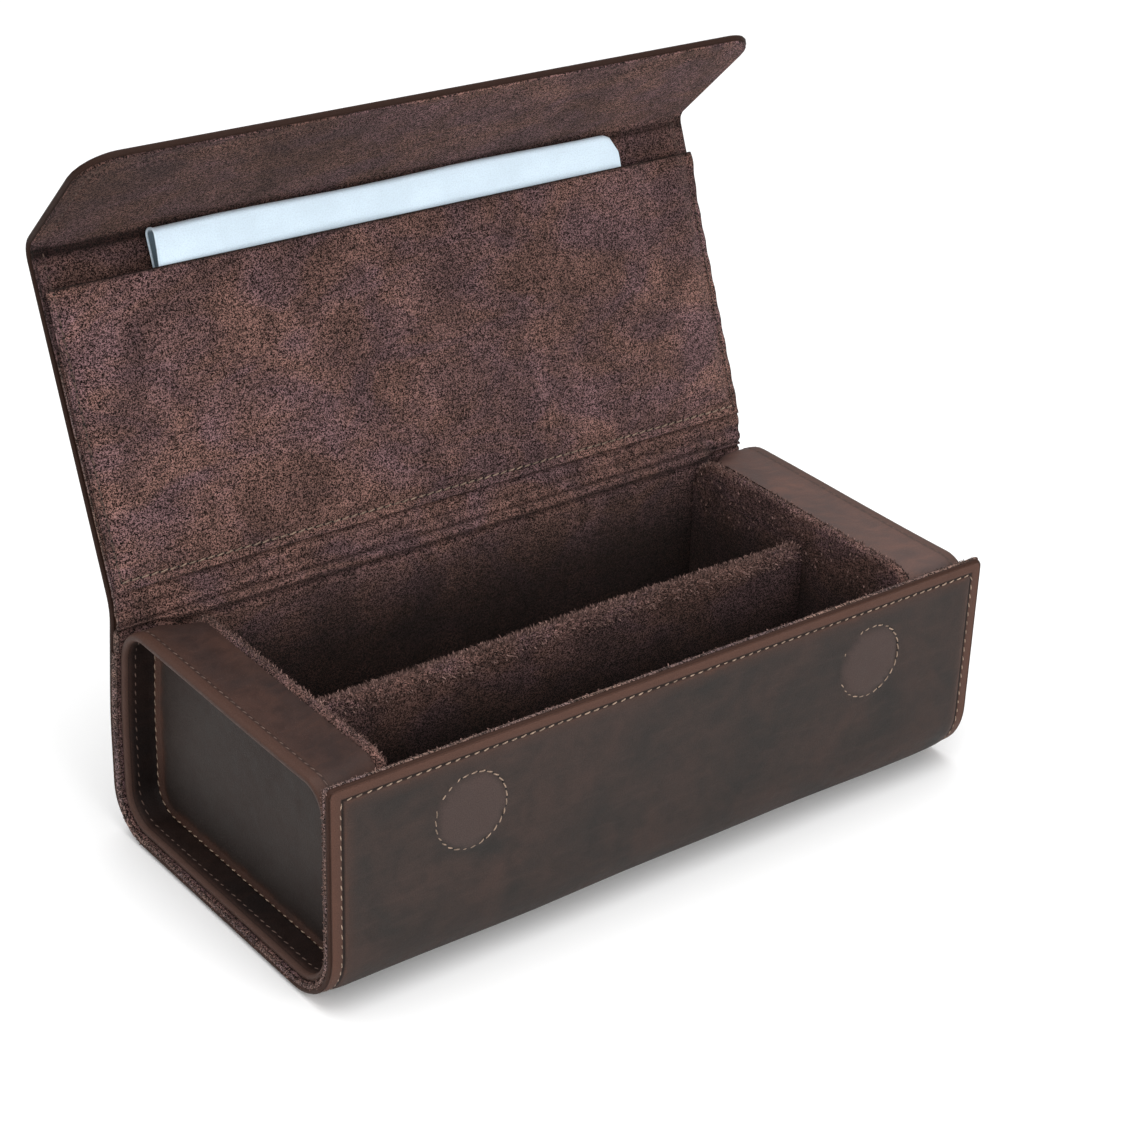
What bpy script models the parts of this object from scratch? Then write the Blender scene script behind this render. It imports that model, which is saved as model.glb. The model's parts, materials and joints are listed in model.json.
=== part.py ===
"""Leather eyeglasses case with two compartments, standing open.

One leather wrap runs up the front, under the base, up the back, over the lid and down the
front flap. Boards stiffen its flat stretches and suede lines it. Two open-ended leather
blocks close the ends, a suede-covered divider splits the inside, and a pocket in the lid
holds a cleaning cloth. Discs of magnet in the front wall and in the flap keep it shut.

Every piece is laid out with the case closed, in metres: X along the case, Y from front to
back, Z up, the origin under the middle of the base. Two empties on the hinge lines then
turn the lid and the flap open.
"""
import math

import bmesh
import bpy
from mathutils import Matrix, Vector

MM = 0.001

# Outer size of the case body
LENGTH = 190.0 * MM
DEPTH = 94.0 * MM
HEIGHT = 58.0 * MM
FRONT_CORNER = 16.0 * MM
BACK_CORNER = 12.0 * MM
BACK_TOP = 53.3 * MM

# Layers of the body walls, from the outside in; the back has the thickest board
GAP = 0.15 * MM
LEATHER = 1.5 * MM
BOARD = 2.2 * MM
BACK_BOARD = 4.0 * MM
SUEDE = 1.2 * MM
WALL = LEATHER + GAP + BOARD + GAP + SUEDE
BACK_WALL = WALL - BOARD + BACK_BOARD
HALF_DEPTH = DEPTH / 2
HALF_LENGTH = LENGTH / 2
INSIDE_FRONT = -HALF_DEPTH + WALL
INSIDE_BACK = HALF_DEPTH - BACK_WALL
INSIDE_MIDDLE = (INSIDE_FRONT + INSIDE_BACK) / 2
BOARD_MARGIN = 5.0 * MM
BOARD_END = 0.5 * MM
BOARD_TRIM = 1.0 * MM

# End blocks: a tube of leather with a panel set back in it
FIT = 0.2 * MM
RIM_INSET = 2.0 * MM
BAND_WIDTH = 15.0 * MM
BAND = 2.0 * MM
BAND_TOP = 56.5 * MM
BAND_TOP_CORNERS = (10.0 * MM, 8.0 * MM)
BAND_LOW_CORNERS = (8.0 * MM, 11.0 * MM)
LINING_RISE = 0.6 * MM
RECESS = 9.0 * MM
PANEL = 1.4 * MM
END_LINING = 2.6 * MM
HALF_CAVITY = HALF_LENGTH - RIM_INSET - BAND_WIDTH - FIT - END_LINING

# Divider
DIVIDER = 5.5 * MM
DIVIDER_TOP = 49.0 * MM
DIVIDER_SUEDE = 1.6 * MM

# Magnets, and the holes that hold them
MAGNET_RADIUS = 8.0 * MM
MAGNET = 2.0 * MM
FLAP_MAGNET = 1.0 * MM
MAGNET_HOLE = 8.3 * MM
DISC_SEGMENTS = 32
MAGNET_X = 58.7 * MM
MAGNET_Z = 41.0 * MM

# Lid and flap, from the inside out
LID_REST = 58.2 * MM
POCKET_PANEL = 0.6 * MM
POCKET_SPACE = 1.2 * MM
LID_SUEDE = 0.7 * MM
LID_BOARD = 1.2 * MM
LID_LEATHER = 1.3 * MM
LID_LINING_LEVEL = LID_REST + POCKET_PANEL + POCKET_SPACE + GAP
LID_BOARD_LEVEL = LID_LINING_LEVEL + LID_SUEDE + GAP
LID_LEATHER_LEVEL = LID_BOARD_LEVEL + LID_BOARD + GAP
LID_TOP = LID_LEATHER_LEVEL + LID_LEATHER
HINGE_Y = INSIDE_BACK
HINGE_Z = HEIGHT
HINGE_BEND = 6.0 * MM
CREASE_BEND = 2.0 * MM
LID_BACK = HINGE_Y - HINGE_BEND
CREASE_Y = -HALF_DEPTH - FIT
CREASE_Z = LID_LINING_LEVEL
LID_FRONT = CREASE_Y + CREASE_BEND
FLAP_TOP = CREASE_Z - CREASE_BEND
FLAP_LENGTH = 40.0 * MM
FLAP_BOTTOM = CREASE_Z - FLAP_LENGTH
FLAP_CORNER = 9.0 * MM
FLAP_THICK = LID_SUEDE + GAP + LID_BOARD + GAP + LID_LEATHER

# Lid pocket and the folded cloth in it
POCKET_TO_CREASE = 9.4 * MM
POCKET_OPEN_Y = CREASE_Y + POCKET_TO_CREASE
POCKET_INSET = 1.0 * MM
POCKET_SEAM = 2.5 * MM
CLOTH_LEFT = -66.0 * MM
CLOTH_RIGHT = 69.5 * MM
CLOTH_TO_CREASE = 2.2 * MM
CLOTH_TOP_Y = CREASE_Y + CLOTH_TO_CREASE
CLOTH_HEIGHT = 54.0 * MM
CLOTH_THICK = 0.9 * MM

# How far the lid and the flap stand open from the closed case
LID_OPEN = math.radians(112.0)
FLAP_OPEN = math.radians(21.5)

# Modelling: steps in a curve, the least angle of a sharp edge, how far cutters overrun
ARC_STEPS = 8
SHARP_ANGLE = math.radians(30)
OVERRUN = 5.0 * MM

HINGE = Vector((0, HINGE_Y, HINGE_Z))
CREASE = Vector((0, CREASE_Y, CREASE_Z))


def clear_scene():
    for item in list(bpy.data.objects):
        bpy.data.objects.remove(item, do_unlink=True)


def new_collection(name):
    group = bpy.data.collections.new(name)
    bpy.context.scene.collection.children.link(group)
    return group


def new_material(name, colour, roughness, metallic=0.0):
    made = bpy.data.materials.new(name)
    made.use_nodes = True
    shader = made.node_tree.nodes["Principled BSDF"]
    shader.inputs["Base Color"].default_value = (*colour, 1.0)
    shader.inputs["Roughness"].default_value = roughness
    shader.inputs["Metallic"].default_value = metallic
    made.diffuse_color = (*colour, 1.0)
    return made


clear_scene()
PARTS = new_collection("eyeglasses_case")
CUTTERS = new_collection("cutters")

COLOURS = {
    "leather": ((0.055, 0.042, 0.036), 0.5, 0.0),
    "edge_leather": ((0.085, 0.047, 0.034), 0.55, 0.0),
    "suede": ((0.12, 0.078, 0.066), 0.95, 0.0),
    "greyboard": ((0.32, 0.30, 0.27), 0.9, 0.0),
    "magnet": ((0.55, 0.55, 0.56), 0.3, 1.0),
    "microfibre": ((0.62, 0.74, 0.84), 0.9, 0.0),
}


def add_empty(name, place, turn, parent=None):
    pivot = bpy.data.objects.new(name, None)
    PARTS.objects.link(pivot)
    pivot.parent = parent
    pivot.location = place
    pivot.rotation_euler = (turn, 0, 0)
    return pivot


def add_object(name, shape, kind, place=(0, 0, 0), parent=None, group=None):
    """Link a bmesh as an object that has a material of its own."""
    mesh = bpy.data.meshes.new(name)
    bmesh.ops.recalc_face_normals(shape, faces=shape.faces)
    shape.to_mesh(mesh)
    shape.free()
    made = bpy.data.objects.new(name, mesh)
    (group or PARTS).objects.link(made)
    made.location = place
    made.parent = parent
    if kind:
        colour, roughness, metallic = COLOURS[kind]
        mesh.materials.append(new_material(name, colour, roughness, metallic))
    mesh.polygons.foreach_set("use_smooth", [True] * len(mesh.polygons))
    mesh.set_sharp_from_angle(angle=SHARP_ANGLE)
    return made


def thicken(made, thickness, side):
    """Grow the surface to one side: 1 along its normals, -1 against them, 0 evenly."""
    solid = made.modifiers.new("thickness", "SOLIDIFY")
    solid.thickness = thickness
    solid.offset = side
    solid.use_even_offset = True
    return made


def box(name, low, high, kind, parent=None, origin=Vector((0, 0, 0))):
    """A box between two corners, its object's origin at the joint that carries it."""
    low, high = Vector(low) - origin, Vector(high) - origin
    shape = bmesh.new()
    size = high - low
    bmesh.ops.create_cube(shape, size=1.0, matrix=Matrix.Diagonal((*size, 1.0)))
    bmesh.ops.translate(shape, vec=(low + high) / 2, verts=shape.verts)
    return add_object(name, shape, kind, parent=parent)


def rounded_outline(first, last, low, high, top_radii, low_radii):
    """Points round an upright rectangle; its radii at each level go (last side, first side)."""
    corners = (
        (last, low, low_radii[0], -90),
        (last, high, top_radii[0], 0),
        (first, high, top_radii[1], 90),
        (first, low, low_radii[1], 180),
    )
    points = []
    for across, up, radius, start in corners:
        if radius == 0:
            points.append((across, up))
            continue
        centre_across = across - radius if across == last else across + radius
        centre_up = up + radius if up == low else up - radius
        for step in range(ARC_STEPS + 1):
            angle = math.radians(start + 90 * step / ARC_STEPS)
            points.append((centre_across + radius * math.cos(angle), centre_up + radius * math.sin(angle)))
    return points


def plate(name, outline, faces_axis, start, thickness, kind, parent=None, origin=Vector((0, 0, 0))):
    """A flat outline with a thickness: it faces X (outline in Y, Z) or Y (outline in X, Z)."""
    shape = bmesh.new()
    for across, up in outline:
        place = Vector((0, across, up)) if faces_axis == "X" else Vector((across, 0, up))
        shape.verts.new(place - origin)
    shape.faces.new(shape.verts)
    along = Vector((1, 0, 0)) if faces_axis == "X" else Vector((0, 1, 0))
    shape.faces.ensure_lookup_table()
    shape.faces[0].normal_update()
    bmesh.ops.translate(shape, vec=along * start, verts=shape.verts)
    side = 1 if shape.faces[0].normal.dot(along) > 0 else -1
    made = add_object(name, shape, kind, parent=parent)
    if made.data.polygons[0].normal.dot(along) * side < 0:
        side = -side
    return thicken(made, thickness, side)


def wall_path(inset, back_inset, front_top, back_top):
    """The way of one layer: down the front, round under the base and up the back."""
    front = -HALF_DEPTH + FRONT_CORNER
    back = HALF_DEPTH - BACK_CORNER
    points = [(-HALF_DEPTH + inset, front_top)]
    for step in range(ARC_STEPS + 1):
        angle = math.radians(180 + 90 * step / ARC_STEPS)
        points.append((front + (FRONT_CORNER - inset) * math.cos(angle),
                       FRONT_CORNER + (FRONT_CORNER - inset) * math.sin(angle)))
    for step in range(ARC_STEPS + 1):
        angle = math.radians(270 + 90 * step / ARC_STEPS)
        points.append((back + (BACK_CORNER - back_inset) * math.cos(angle),
                       BACK_CORNER + (BACK_CORNER - inset) * math.sin(angle)))
    points.append((HALF_DEPTH - back_inset, back_top))
    return points


def strip(name, path, thickness, kind, half_width=HALF_LENGTH):
    """A sheet that follows a path in Y and Z across the length, thickened to its left side."""
    shape = bmesh.new()
    rows = []
    for along, up in path:
        rows.append([shape.verts.new((x, along, up)) for x in (-half_width, half_width)])
    for (a, b), (c, d) in zip(rows, rows[1:]):
        shape.faces.new((a, b, d, c))
    made = add_object(name, shape, kind)
    (y0, z0), (y1, z1) = path[0], path[1]
    left = Vector((0, -(z1 - z0), y1 - y0))
    side = 1 if made.data.polygons[0].normal.dot(left) > 0 else -1
    return thicken(made, thickness, side)


def cut(target, cutter):
    hole = target.modifiers.new("cut", "BOOLEAN")
    hole.operation = "DIFFERENCE"
    hole.solver = "EXACT"
    hole.object = cutter


def disc(name, radius, thickness, place, kind, parent=None, group=None):
    """A short cylinder whose axis runs along Y."""
    shape = bmesh.new()
    bmesh.ops.create_cone(shape, cap_ends=True, segments=DISC_SEGMENTS, radius1=radius, radius2=radius,
                          depth=thickness, matrix=Matrix.Rotation(math.pi / 2, 4, "X"))
    return add_object(name, shape, kind, place=place, parent=parent, group=group)


def add_cutter(name, place, parent=None):
    cutter = disc(name, MAGNET_HOLE, 2 * OVERRUN, place, None, parent, CUTTERS)
    cutter.hide_render = True
    cutter.display_type = "WIRE"
    return cutter


def about_hinge(point):
    """Where a point of the closed lid is once the lid stands open, as (y, z)."""
    turned = Matrix.Rotation(-LID_OPEN, 3, "X") @ (Vector((0, *point)) - HINGE) + HINGE
    return turned.y, turned.z


def about_crease(point):
    """Where a point of the closed flap is once flap and lid stand open, as (y, z)."""
    turned = Matrix.Rotation(-FLAP_OPEN, 3, "X") @ (Vector((0, *point)) - CREASE) + CREASE
    return about_hinge((turned.y, turned.z))


def bend(start, start_way, end, end_way):
    """Points of a smooth bend from one place and direction to another."""
    start, end = Vector(start), Vector(end)
    reach = (end - start).length / 3
    handle_a = start + Vector(start_way).normalized() * reach
    handle_b = end - Vector(end_way).normalized() * reach
    points = []
    for step in range(ARC_STEPS + 1):
        t = step / ARC_STEPS
        s = 1 - t
        place = start * s**3 + handle_a * 3 * s * s * t + handle_b * 3 * s * t * t + end * t**3
        points.append((place.x, place.y))
    return points


def build_walls():
    """The wrap's body stretch, the lining, the boards between the end panels, and the magnets."""
    outer = LEATHER + GAP
    inner = outer + BOARD + GAP
    back_inner = outer + BACK_BOARD + GAP
    strip("body_leather", wall_path(0, 0, HEIGHT, BACK_TOP), LEATHER, "leather")
    strip("body_lining", wall_path(inner, back_inner, HEIGHT, BACK_TOP), SUEDE, "suede")
    board_x = HALF_LENGTH - RIM_INSET - RECESS - PANEL
    front_y = -HALF_DEPTH + outer
    back_y = HALF_DEPTH - outer
    front = box("front_board", (-board_x, front_y, FRONT_CORNER + BOARD_END),
                (board_x, front_y + BOARD, HEIGHT - BOARD_MARGIN), "greyboard")
    box("back_board", (-board_x, back_y - BACK_BOARD, BACK_CORNER + BOARD_END),
        (board_x, back_y, BACK_TOP - BOARD_TRIM), "greyboard")
    box("base_board", (-board_x, -HALF_DEPTH + FRONT_CORNER + BOARD_END, outer),
        (board_x, HALF_DEPTH - BACK_CORNER - BOARD_END, outer + BOARD), "greyboard")
    for side, x in (("left", -MAGNET_X), ("right", MAGNET_X)):
        middle = (x, front_y + BOARD / 2, MAGNET_Z)
        cut(front, add_cutter(f"cut_front_{side}", middle))
        disc(f"front_magnet_{side}", MAGNET_RADIUS, MAGNET, middle, "magnet")


def build_end(side, sign):
    """One end block: the open tube, the panel set back in it, its core and its lining."""
    low = WALL + FIT
    first = INSIDE_FRONT + FIT
    last = INSIDE_BACK - FIT
    rim = HALF_LENGTH - RIM_INSET
    inner_end = rim - BAND_WIDTH
    outline = rounded_outline(first, last, low, BAND_TOP, BAND_TOP_CORNERS, BAND_LOW_CORNERS)
    shape = bmesh.new()
    rows = []
    for x in (sign * rim, sign * inner_end):
        rows.append([shape.verts.new((x, y, z)) for y, z in outline])
    for here, there in zip(range(len(outline)), [*range(1, len(outline)), 0]):
        shape.faces.new((rows[0][here], rows[0][there], rows[1][there], rows[1][here]))
    band = add_object(f"{side}_end_band", shape, "edge_leather")
    thicken(band, BAND, -1)

    hole = BAND + FIT
    face = rounded_outline(first + hole, last - hole, low + hole, BAND_TOP - hole,
                           [radius - hole for radius in BAND_TOP_CORNERS],
                           [radius - hole for radius in BAND_LOW_CORNERS])
    panel_x = rim - RECESS
    core_x = panel_x - PANEL - GAP
    core = core_x - inner_end
    plate(f"{side}_end_panel", face, "X", sign * panel_x, -sign * PANEL, "leather")
    plate(f"{side}_end_core", face, "X", sign * core_x, -sign * core, "greyboard")
    whole = rounded_outline(first, last, low, BAND_TOP + LINING_RISE, BAND_TOP_CORNERS, BAND_LOW_CORNERS)
    plate(f"{side}_end_lining", whole, "X", sign * (inner_end - FIT), -sign * END_LINING, "suede")


def build_divider():
    """A board between the compartments, in a suede cover that is open below."""
    half = DIVIDER / 2
    low = WALL + FIT
    length = HALF_CAVITY - FIT
    front = INSIDE_MIDDLE - half
    back = INSIDE_MIDDLE + half
    path = [(back, low), (back, DIVIDER_TOP), (front, DIVIDER_TOP), (front, low)]
    strip("divider_cover", path, DIVIDER_SUEDE, "suede", length)
    inset = DIVIDER_SUEDE + GAP
    box("divider_board", (-length + BOARD_TRIM, front + inset, low),
        (length - BOARD_TRIM, back - inset, DIVIDER_TOP - inset), "greyboard")


def build_lid(pivot):
    """The lid's leather, board and lining, the pocket on it and the cloth in the pocket."""

    def lid_box(name, half_width, back, front, low, high, kind, middle=0.0):
        return box(name, (middle - half_width, front, low), (middle + half_width, back, high),
                   kind, pivot, HINGE)

    lid_box("lid_leather", HALF_LENGTH, LID_BACK, LID_FRONT, LID_LEATHER_LEVEL, LID_TOP, "leather")
    lid_box("lid_board", HALF_LENGTH - BOARD_MARGIN, LID_BACK - BOARD_TRIM, LID_FRONT + BOARD_TRIM,
            LID_BOARD_LEVEL, LID_BOARD_LEVEL + LID_BOARD, "greyboard")
    lid_box("lid_lining", HALF_LENGTH, LID_BACK, LID_FRONT, LID_LINING_LEVEL,
            LID_LINING_LEVEL + LID_SUEDE, "suede")

    pocket_x = HALF_LENGTH - POCKET_INSET
    pocket = lid_box("lid_pocket", pocket_x, LID_BACK, POCKET_OPEN_Y, LID_REST,
                     LID_REST + POCKET_PANEL + POCKET_SPACE, "suede")
    hollow = lid_box("cut_pocket", pocket_x - POCKET_SEAM, LID_BACK - POCKET_SEAM,
                     POCKET_OPEN_Y - OVERRUN, LID_REST + POCKET_PANEL, LID_REST + OVERRUN, None)
    PARTS.objects.unlink(hollow)
    CUTTERS.objects.link(hollow)
    hollow.hide_render = True
    hollow.display_type = "WIRE"
    cut(pocket, hollow)

    cloth_low = LID_REST + POCKET_PANEL + (POCKET_SPACE - CLOTH_THICK) / 2
    lid_box("cleaning_cloth", (CLOTH_RIGHT - CLOTH_LEFT) / 2, CLOTH_TOP_Y + CLOTH_HEIGHT, CLOTH_TOP_Y,
            cloth_low, cloth_low + CLOTH_THICK, "microfibre", (CLOTH_RIGHT + CLOTH_LEFT) / 2)


def build_flap(pivot):
    """The flap's lining, board, magnets and leather, hung from the crease."""
    lining_y = CREASE_Y
    board_y = lining_y - LID_SUEDE - GAP
    leather_y = board_y - LID_BOARD - GAP
    square = (0, 0)
    outline = rounded_outline(-HALF_LENGTH, HALF_LENGTH, FLAP_BOTTOM, FLAP_TOP, square,
                              (FLAP_CORNER, FLAP_CORNER))
    board_x = HALF_LENGTH - BOARD_MARGIN
    board_corner = FLAP_CORNER - BOARD_MARGIN
    inner = rounded_outline(-board_x, board_x, FLAP_BOTTOM + BOARD_MARGIN, FLAP_TOP - BOARD_TRIM, square,
                            (board_corner, board_corner))
    shift = Vector((0, 0, CREASE_Z))

    def flap_plate(name, points, start, thickness, kind):
        return plate(name, points, "Y", start - CREASE_Y, -thickness, kind, pivot, shift)

    flap_plate("flap_lining", outline, lining_y, LID_SUEDE, "suede")
    board = flap_plate("flap_board", inner, board_y, LID_BOARD, "greyboard")
    flap_plate("flap_leather", outline, leather_y, LID_LEATHER, "leather")
    for side, x in (("left", -MAGNET_X), ("right", MAGNET_X)):
        middle = Vector((x, board_y - LID_BOARD / 2, MAGNET_Z)) - CREASE
        cut(board, add_cutter(f"cut_flap_{side}", middle, pivot))
        disc(f"flap_magnet_{side}", MAGNET_RADIUS, FLAP_MAGNET, middle, "magnet", pivot)


def build_bends():
    """The soft stretches of the wrap: over the back edge, and at the flap's crease."""
    upright = (0, 1)
    lid_way = Vector(about_hinge((HINGE_Y - 1, HINGE_Z))) - Vector((HINGE_Y, HINGE_Z))
    flap_way = Vector(about_crease((CREASE_Y, CREASE_Z - 1))) - Vector(about_hinge((CREASE_Y, CREASE_Z)))
    wall_end = BACK_TOP + FIT
    lid_start = LID_BACK + FIT
    lid_end = LID_FRONT - FIT
    flap_start = FLAP_TOP + FIT
    strip("hinge_leather",
          bend((HALF_DEPTH, wall_end), upright, about_hinge((lid_start, LID_TOP)), lid_way),
          LID_LEATHER, "leather")
    strip("hinge_lining",
          bend((INSIDE_BACK + LID_SUEDE, wall_end), upright,
               about_hinge((lid_start, LID_LINING_LEVEL + LID_SUEDE)), lid_way),
          LID_SUEDE, "suede")
    strip("fold_leather",
          bend(about_hinge((lid_end, LID_TOP)), lid_way,
               about_crease((CREASE_Y - FLAP_THICK, flap_start)), flap_way),
          LID_LEATHER, "leather")
    strip("fold_lining",
          bend(about_hinge((lid_end, LID_LINING_LEVEL + LID_SUEDE)), lid_way,
               about_crease((CREASE_Y - LID_SUEDE, flap_start)), flap_way),
          LID_SUEDE, "suede")


def build_case():
    build_walls()
    build_end("left", -1)
    build_end("right", 1)
    build_divider()
    lid_pivot = add_empty("lid_hinge_line", HINGE, -LID_OPEN)
    flap_pivot = add_empty("flap_crease_line", CREASE - HINGE, -FLAP_OPEN, lid_pivot)
    build_lid(lid_pivot)
    build_flap(flap_pivot)
    build_bends()


build_case()
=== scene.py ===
"""How the leather eyeglasses case looks: its leather, suede, seams and cleaning cloth.

Every piece is laid out with the case closed, as in the CAD model, and then turned about the
hinge line and the crease to where it stands at rest. Lengths are metres.
"""

import json
import math
import random

import bpy
import numpy as np
from mathutils import Matrix, Vector


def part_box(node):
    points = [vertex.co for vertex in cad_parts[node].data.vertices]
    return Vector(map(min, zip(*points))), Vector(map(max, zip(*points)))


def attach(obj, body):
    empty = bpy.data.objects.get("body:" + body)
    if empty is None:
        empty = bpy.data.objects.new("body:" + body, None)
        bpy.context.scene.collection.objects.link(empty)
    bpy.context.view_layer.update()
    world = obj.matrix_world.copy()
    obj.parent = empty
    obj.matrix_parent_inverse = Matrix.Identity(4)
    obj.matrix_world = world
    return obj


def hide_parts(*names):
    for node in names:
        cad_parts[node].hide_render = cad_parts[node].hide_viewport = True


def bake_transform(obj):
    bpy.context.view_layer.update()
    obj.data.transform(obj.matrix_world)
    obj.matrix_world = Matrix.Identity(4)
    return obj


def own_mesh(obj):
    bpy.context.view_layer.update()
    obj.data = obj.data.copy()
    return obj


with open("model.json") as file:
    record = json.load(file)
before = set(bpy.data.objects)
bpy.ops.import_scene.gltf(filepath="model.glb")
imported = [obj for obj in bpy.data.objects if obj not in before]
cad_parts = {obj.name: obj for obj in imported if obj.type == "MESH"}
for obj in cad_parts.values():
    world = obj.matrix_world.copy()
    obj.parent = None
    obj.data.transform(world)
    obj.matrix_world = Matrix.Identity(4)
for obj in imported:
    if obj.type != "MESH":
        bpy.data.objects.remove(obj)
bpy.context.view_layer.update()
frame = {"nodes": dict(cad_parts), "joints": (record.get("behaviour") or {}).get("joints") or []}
MM = 0.001
JOINTS = {joint["name"]: joint for joint in frame["joints"]}

# Where the CAD model has its hinge lines, and how far each stands open at rest
HINGE = Vector(JOINTS["lid_hinge"]["pos_m"])
LID_OPEN = math.radians(JOINTS["lid_hinge"]["range_deg"][1])
FLAP_OPEN = math.radians(JOINTS["flap_fold"]["range_deg"][1])
OPEN_LID = (Matrix.Translation(HINGE) @ Matrix.Rotation(-LID_OPEN, 4, "X")
            @ Matrix.Translation(-HINGE))
CREASE = OPEN_LID.inverted() @ Vector(JOINTS["flap_fold"]["pos_m"])
OPEN_FLAP = (OPEN_LID @ Matrix.Translation(CREASE) @ Matrix.Rotation(-FLAP_OPEN, 4, "X")
             @ Matrix.Translation(-CREASE))

# Outside of the wrap. The lid's places are those it has with the case closed
HALF_LENGTH, HALF_DEPTH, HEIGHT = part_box("body_leather")[1]
FRONT_CORNER = 16.0 * MM
BACK_CORNER = 12.0 * MM
BACK_SEAM_Z = 42.0 * MM
LID_TOP = 63.65 * MM
LID_BACK = 34.0 * MM
LID_SEAM_Y = -22.0 * MM
FLAP_OUT = 3.5 * MM
FLAP_LENGTH = 40.0 * MM
FLAP_CORNER = 9.0 * MM
TOP_CORNER = 2.0 * MM
LEATHER_EDGE = 0.5 * MM
SHEET_HALF = HALF_LENGTH - LEATHER_EDGE

# Thicknesses, and how far surfaces stand out of true
LEATHER = 1.5 * MM
THICK_SUEDE = 1.14 * MM
THIN_SUEDE = 0.7 * MM
GAP = 0.05 * MM
BULGE = 2.6 * MM
WAVE = 0.18 * MM
SWELL = 0.30 * MM

# Rounded rims of sheets: steps round the rim, how far it swells, and its edge value
RIM_STEPS = 4
RIM_ROUND = 0.38
RIM_EDGE = -0.5 * MM

# Inside of the wrap
WALL = 5.2 * MM
BACK_WALL = 7.0 * MM
LINING_SEAM_Z = 49.0 * MM
LID_LINING_Z = 60.15 * MM
LINING_EDGE = 0.4 * MM
FLAP_CLEARANCE = 0.45 * MM

# Spacing of points along and across the sheets
LEATHER_STEP = 1.6 * MM
SUEDE_STEP = 2.0 * MM

# Seams. A disc is the round seam over a magnet, and a hole is measured in threads
STITCH_INSET = 3.0 * MM
STITCH_PITCH = 2.5 * MM
DISC_PITCH = 2.2 * MM
STITCH_LENGTH = 2.0 * MM
STITCH_SLANT_DEG = 10.0
SEAM_SINK = -0.42 * MM
DISC_SINK = -0.12 * MM
THREAD = 0.18 * MM
HOLE_SIZE = 1.7
SEAM_STEP = 0.8 * MM
SEAM_X = HALF_LENGTH - STITCH_INSET
ROUND_SIDES = 6
DISC = 9.4 * MM
DISC_X = 58.7 * MM
FRONT_DISC_Z = 41.0 * MM
FLAP_DISC = 20.85 * MM

# Pocket and cleaning cloth, on the closed lid
POCKET_HEM_Z = 58.2 * MM
POCKET_OPEN_Y = CREASE.y + 9.4 * MM
POCKET_BACK_Y = HINGE.y - 7.6 * MM
CLOTH_LEFT = -66.0 * MM
CLOTH_RIGHT = 69.5 * MM
CLOTH_DEPTH = 55.0 * MM
CLOTH_CORNER = 4.0 * MM
CLOTH_FOLD = 1.4 * MM
HEM_RADIUS = 0.32 * MM

# End blocks: the panel stands back in a recess inside the band
PANEL_X = 85.3 * MM
PANEL_DEPTH = HALF_LENGTH - PANEL_X
BAND = 2.0 * MM
BAND_TOP = 56.5 * MM
END_THICK = 1.3 * MM
SIDES = (("left", -1), ("right", 1))


def closed_to_rest(matrix, point):
    """Where a closed layout's (y, z) is once its part stands open."""
    moved = matrix @ Vector((0, *point))
    return np.array((moved.y, moved.z))


def on_lid(y, z):
    return closed_to_rest(OPEN_LID, (y, z))


def on_flap(y, z):
    return closed_to_rest(OPEN_FLAP, (y, z))


# ---- lines that sheets follow

def smooth(value, low, high):
    """0 below low, 1 above high, and an even S between them."""
    t = np.clip((np.asarray(value, float) - low) / (high - low), 0, 1)
    return t * t * (3 - 2 * t)


def ridge(value, width):
    """1 at nought, falling to nothing on both sides."""
    return np.exp(-(value / width) ** 2)


def back_bulge(y, z):
    """How far the soft back wall stands out past its board, by place."""
    upright = smooth(z, -6 * MM, 8 * MM) * (1 - smooth(z, 25 * MM, 64 * MM))
    return BULGE * upright * smooth(y, 20 * MM, 44 * MM)


def bulged(points):
    return [point + np.array((float(back_bulge(*point)), 0.0)) for point in points]


def line(start, end, step=2 * MM):
    start, end = np.array(start, float), np.array(end, float)
    count = max(1, math.ceil(np.linalg.norm(end - start) / step))
    return [start + (end - start) * share for share in np.linspace(0, 1, count + 1)]


def arc(centre, radius, first, last, steps=14):
    angles = np.radians(np.linspace(first, last, steps + 1))
    return [np.array(centre) + radius * np.array((math.cos(a), math.sin(a))) for a in angles]


def bend(start, start_way, end, end_way, steps=16):
    """A smooth curve from one place and direction to another."""
    start, end = np.array(start, float), np.array(end, float)
    reach = np.linalg.norm(end - start) / 2.6
    handle_a = start + np.array(start_way) / np.linalg.norm(start_way) * reach
    handle_b = end - np.array(end_way) / np.linalg.norm(end_way) * reach
    points = []
    for t in np.linspace(0, 1, steps + 1):
        s = 1 - t
        points.append(start * s**3 + handle_a * 3 * s * s * t + handle_b * 3 * s * t * t + end * t**3)
    return points


def joined(*stretches):
    points = list(stretches[0])
    for stretch in stretches[1:]:
        points += stretch[1:] if np.allclose(points[-1], stretch[0]) else stretch
    return points


def run_lengths(points):
    """The length from the first of some points to each of them."""
    steps = np.linalg.norm(np.diff(points, axis=0), axis=1)
    return np.concatenate(([0.0], np.cumsum(steps)))


def read_along(along, lengths, values):
    """A row of values at some lengths, column by column."""
    return np.stack([np.interp(along, lengths, column) for column in values.T], -1)


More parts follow.
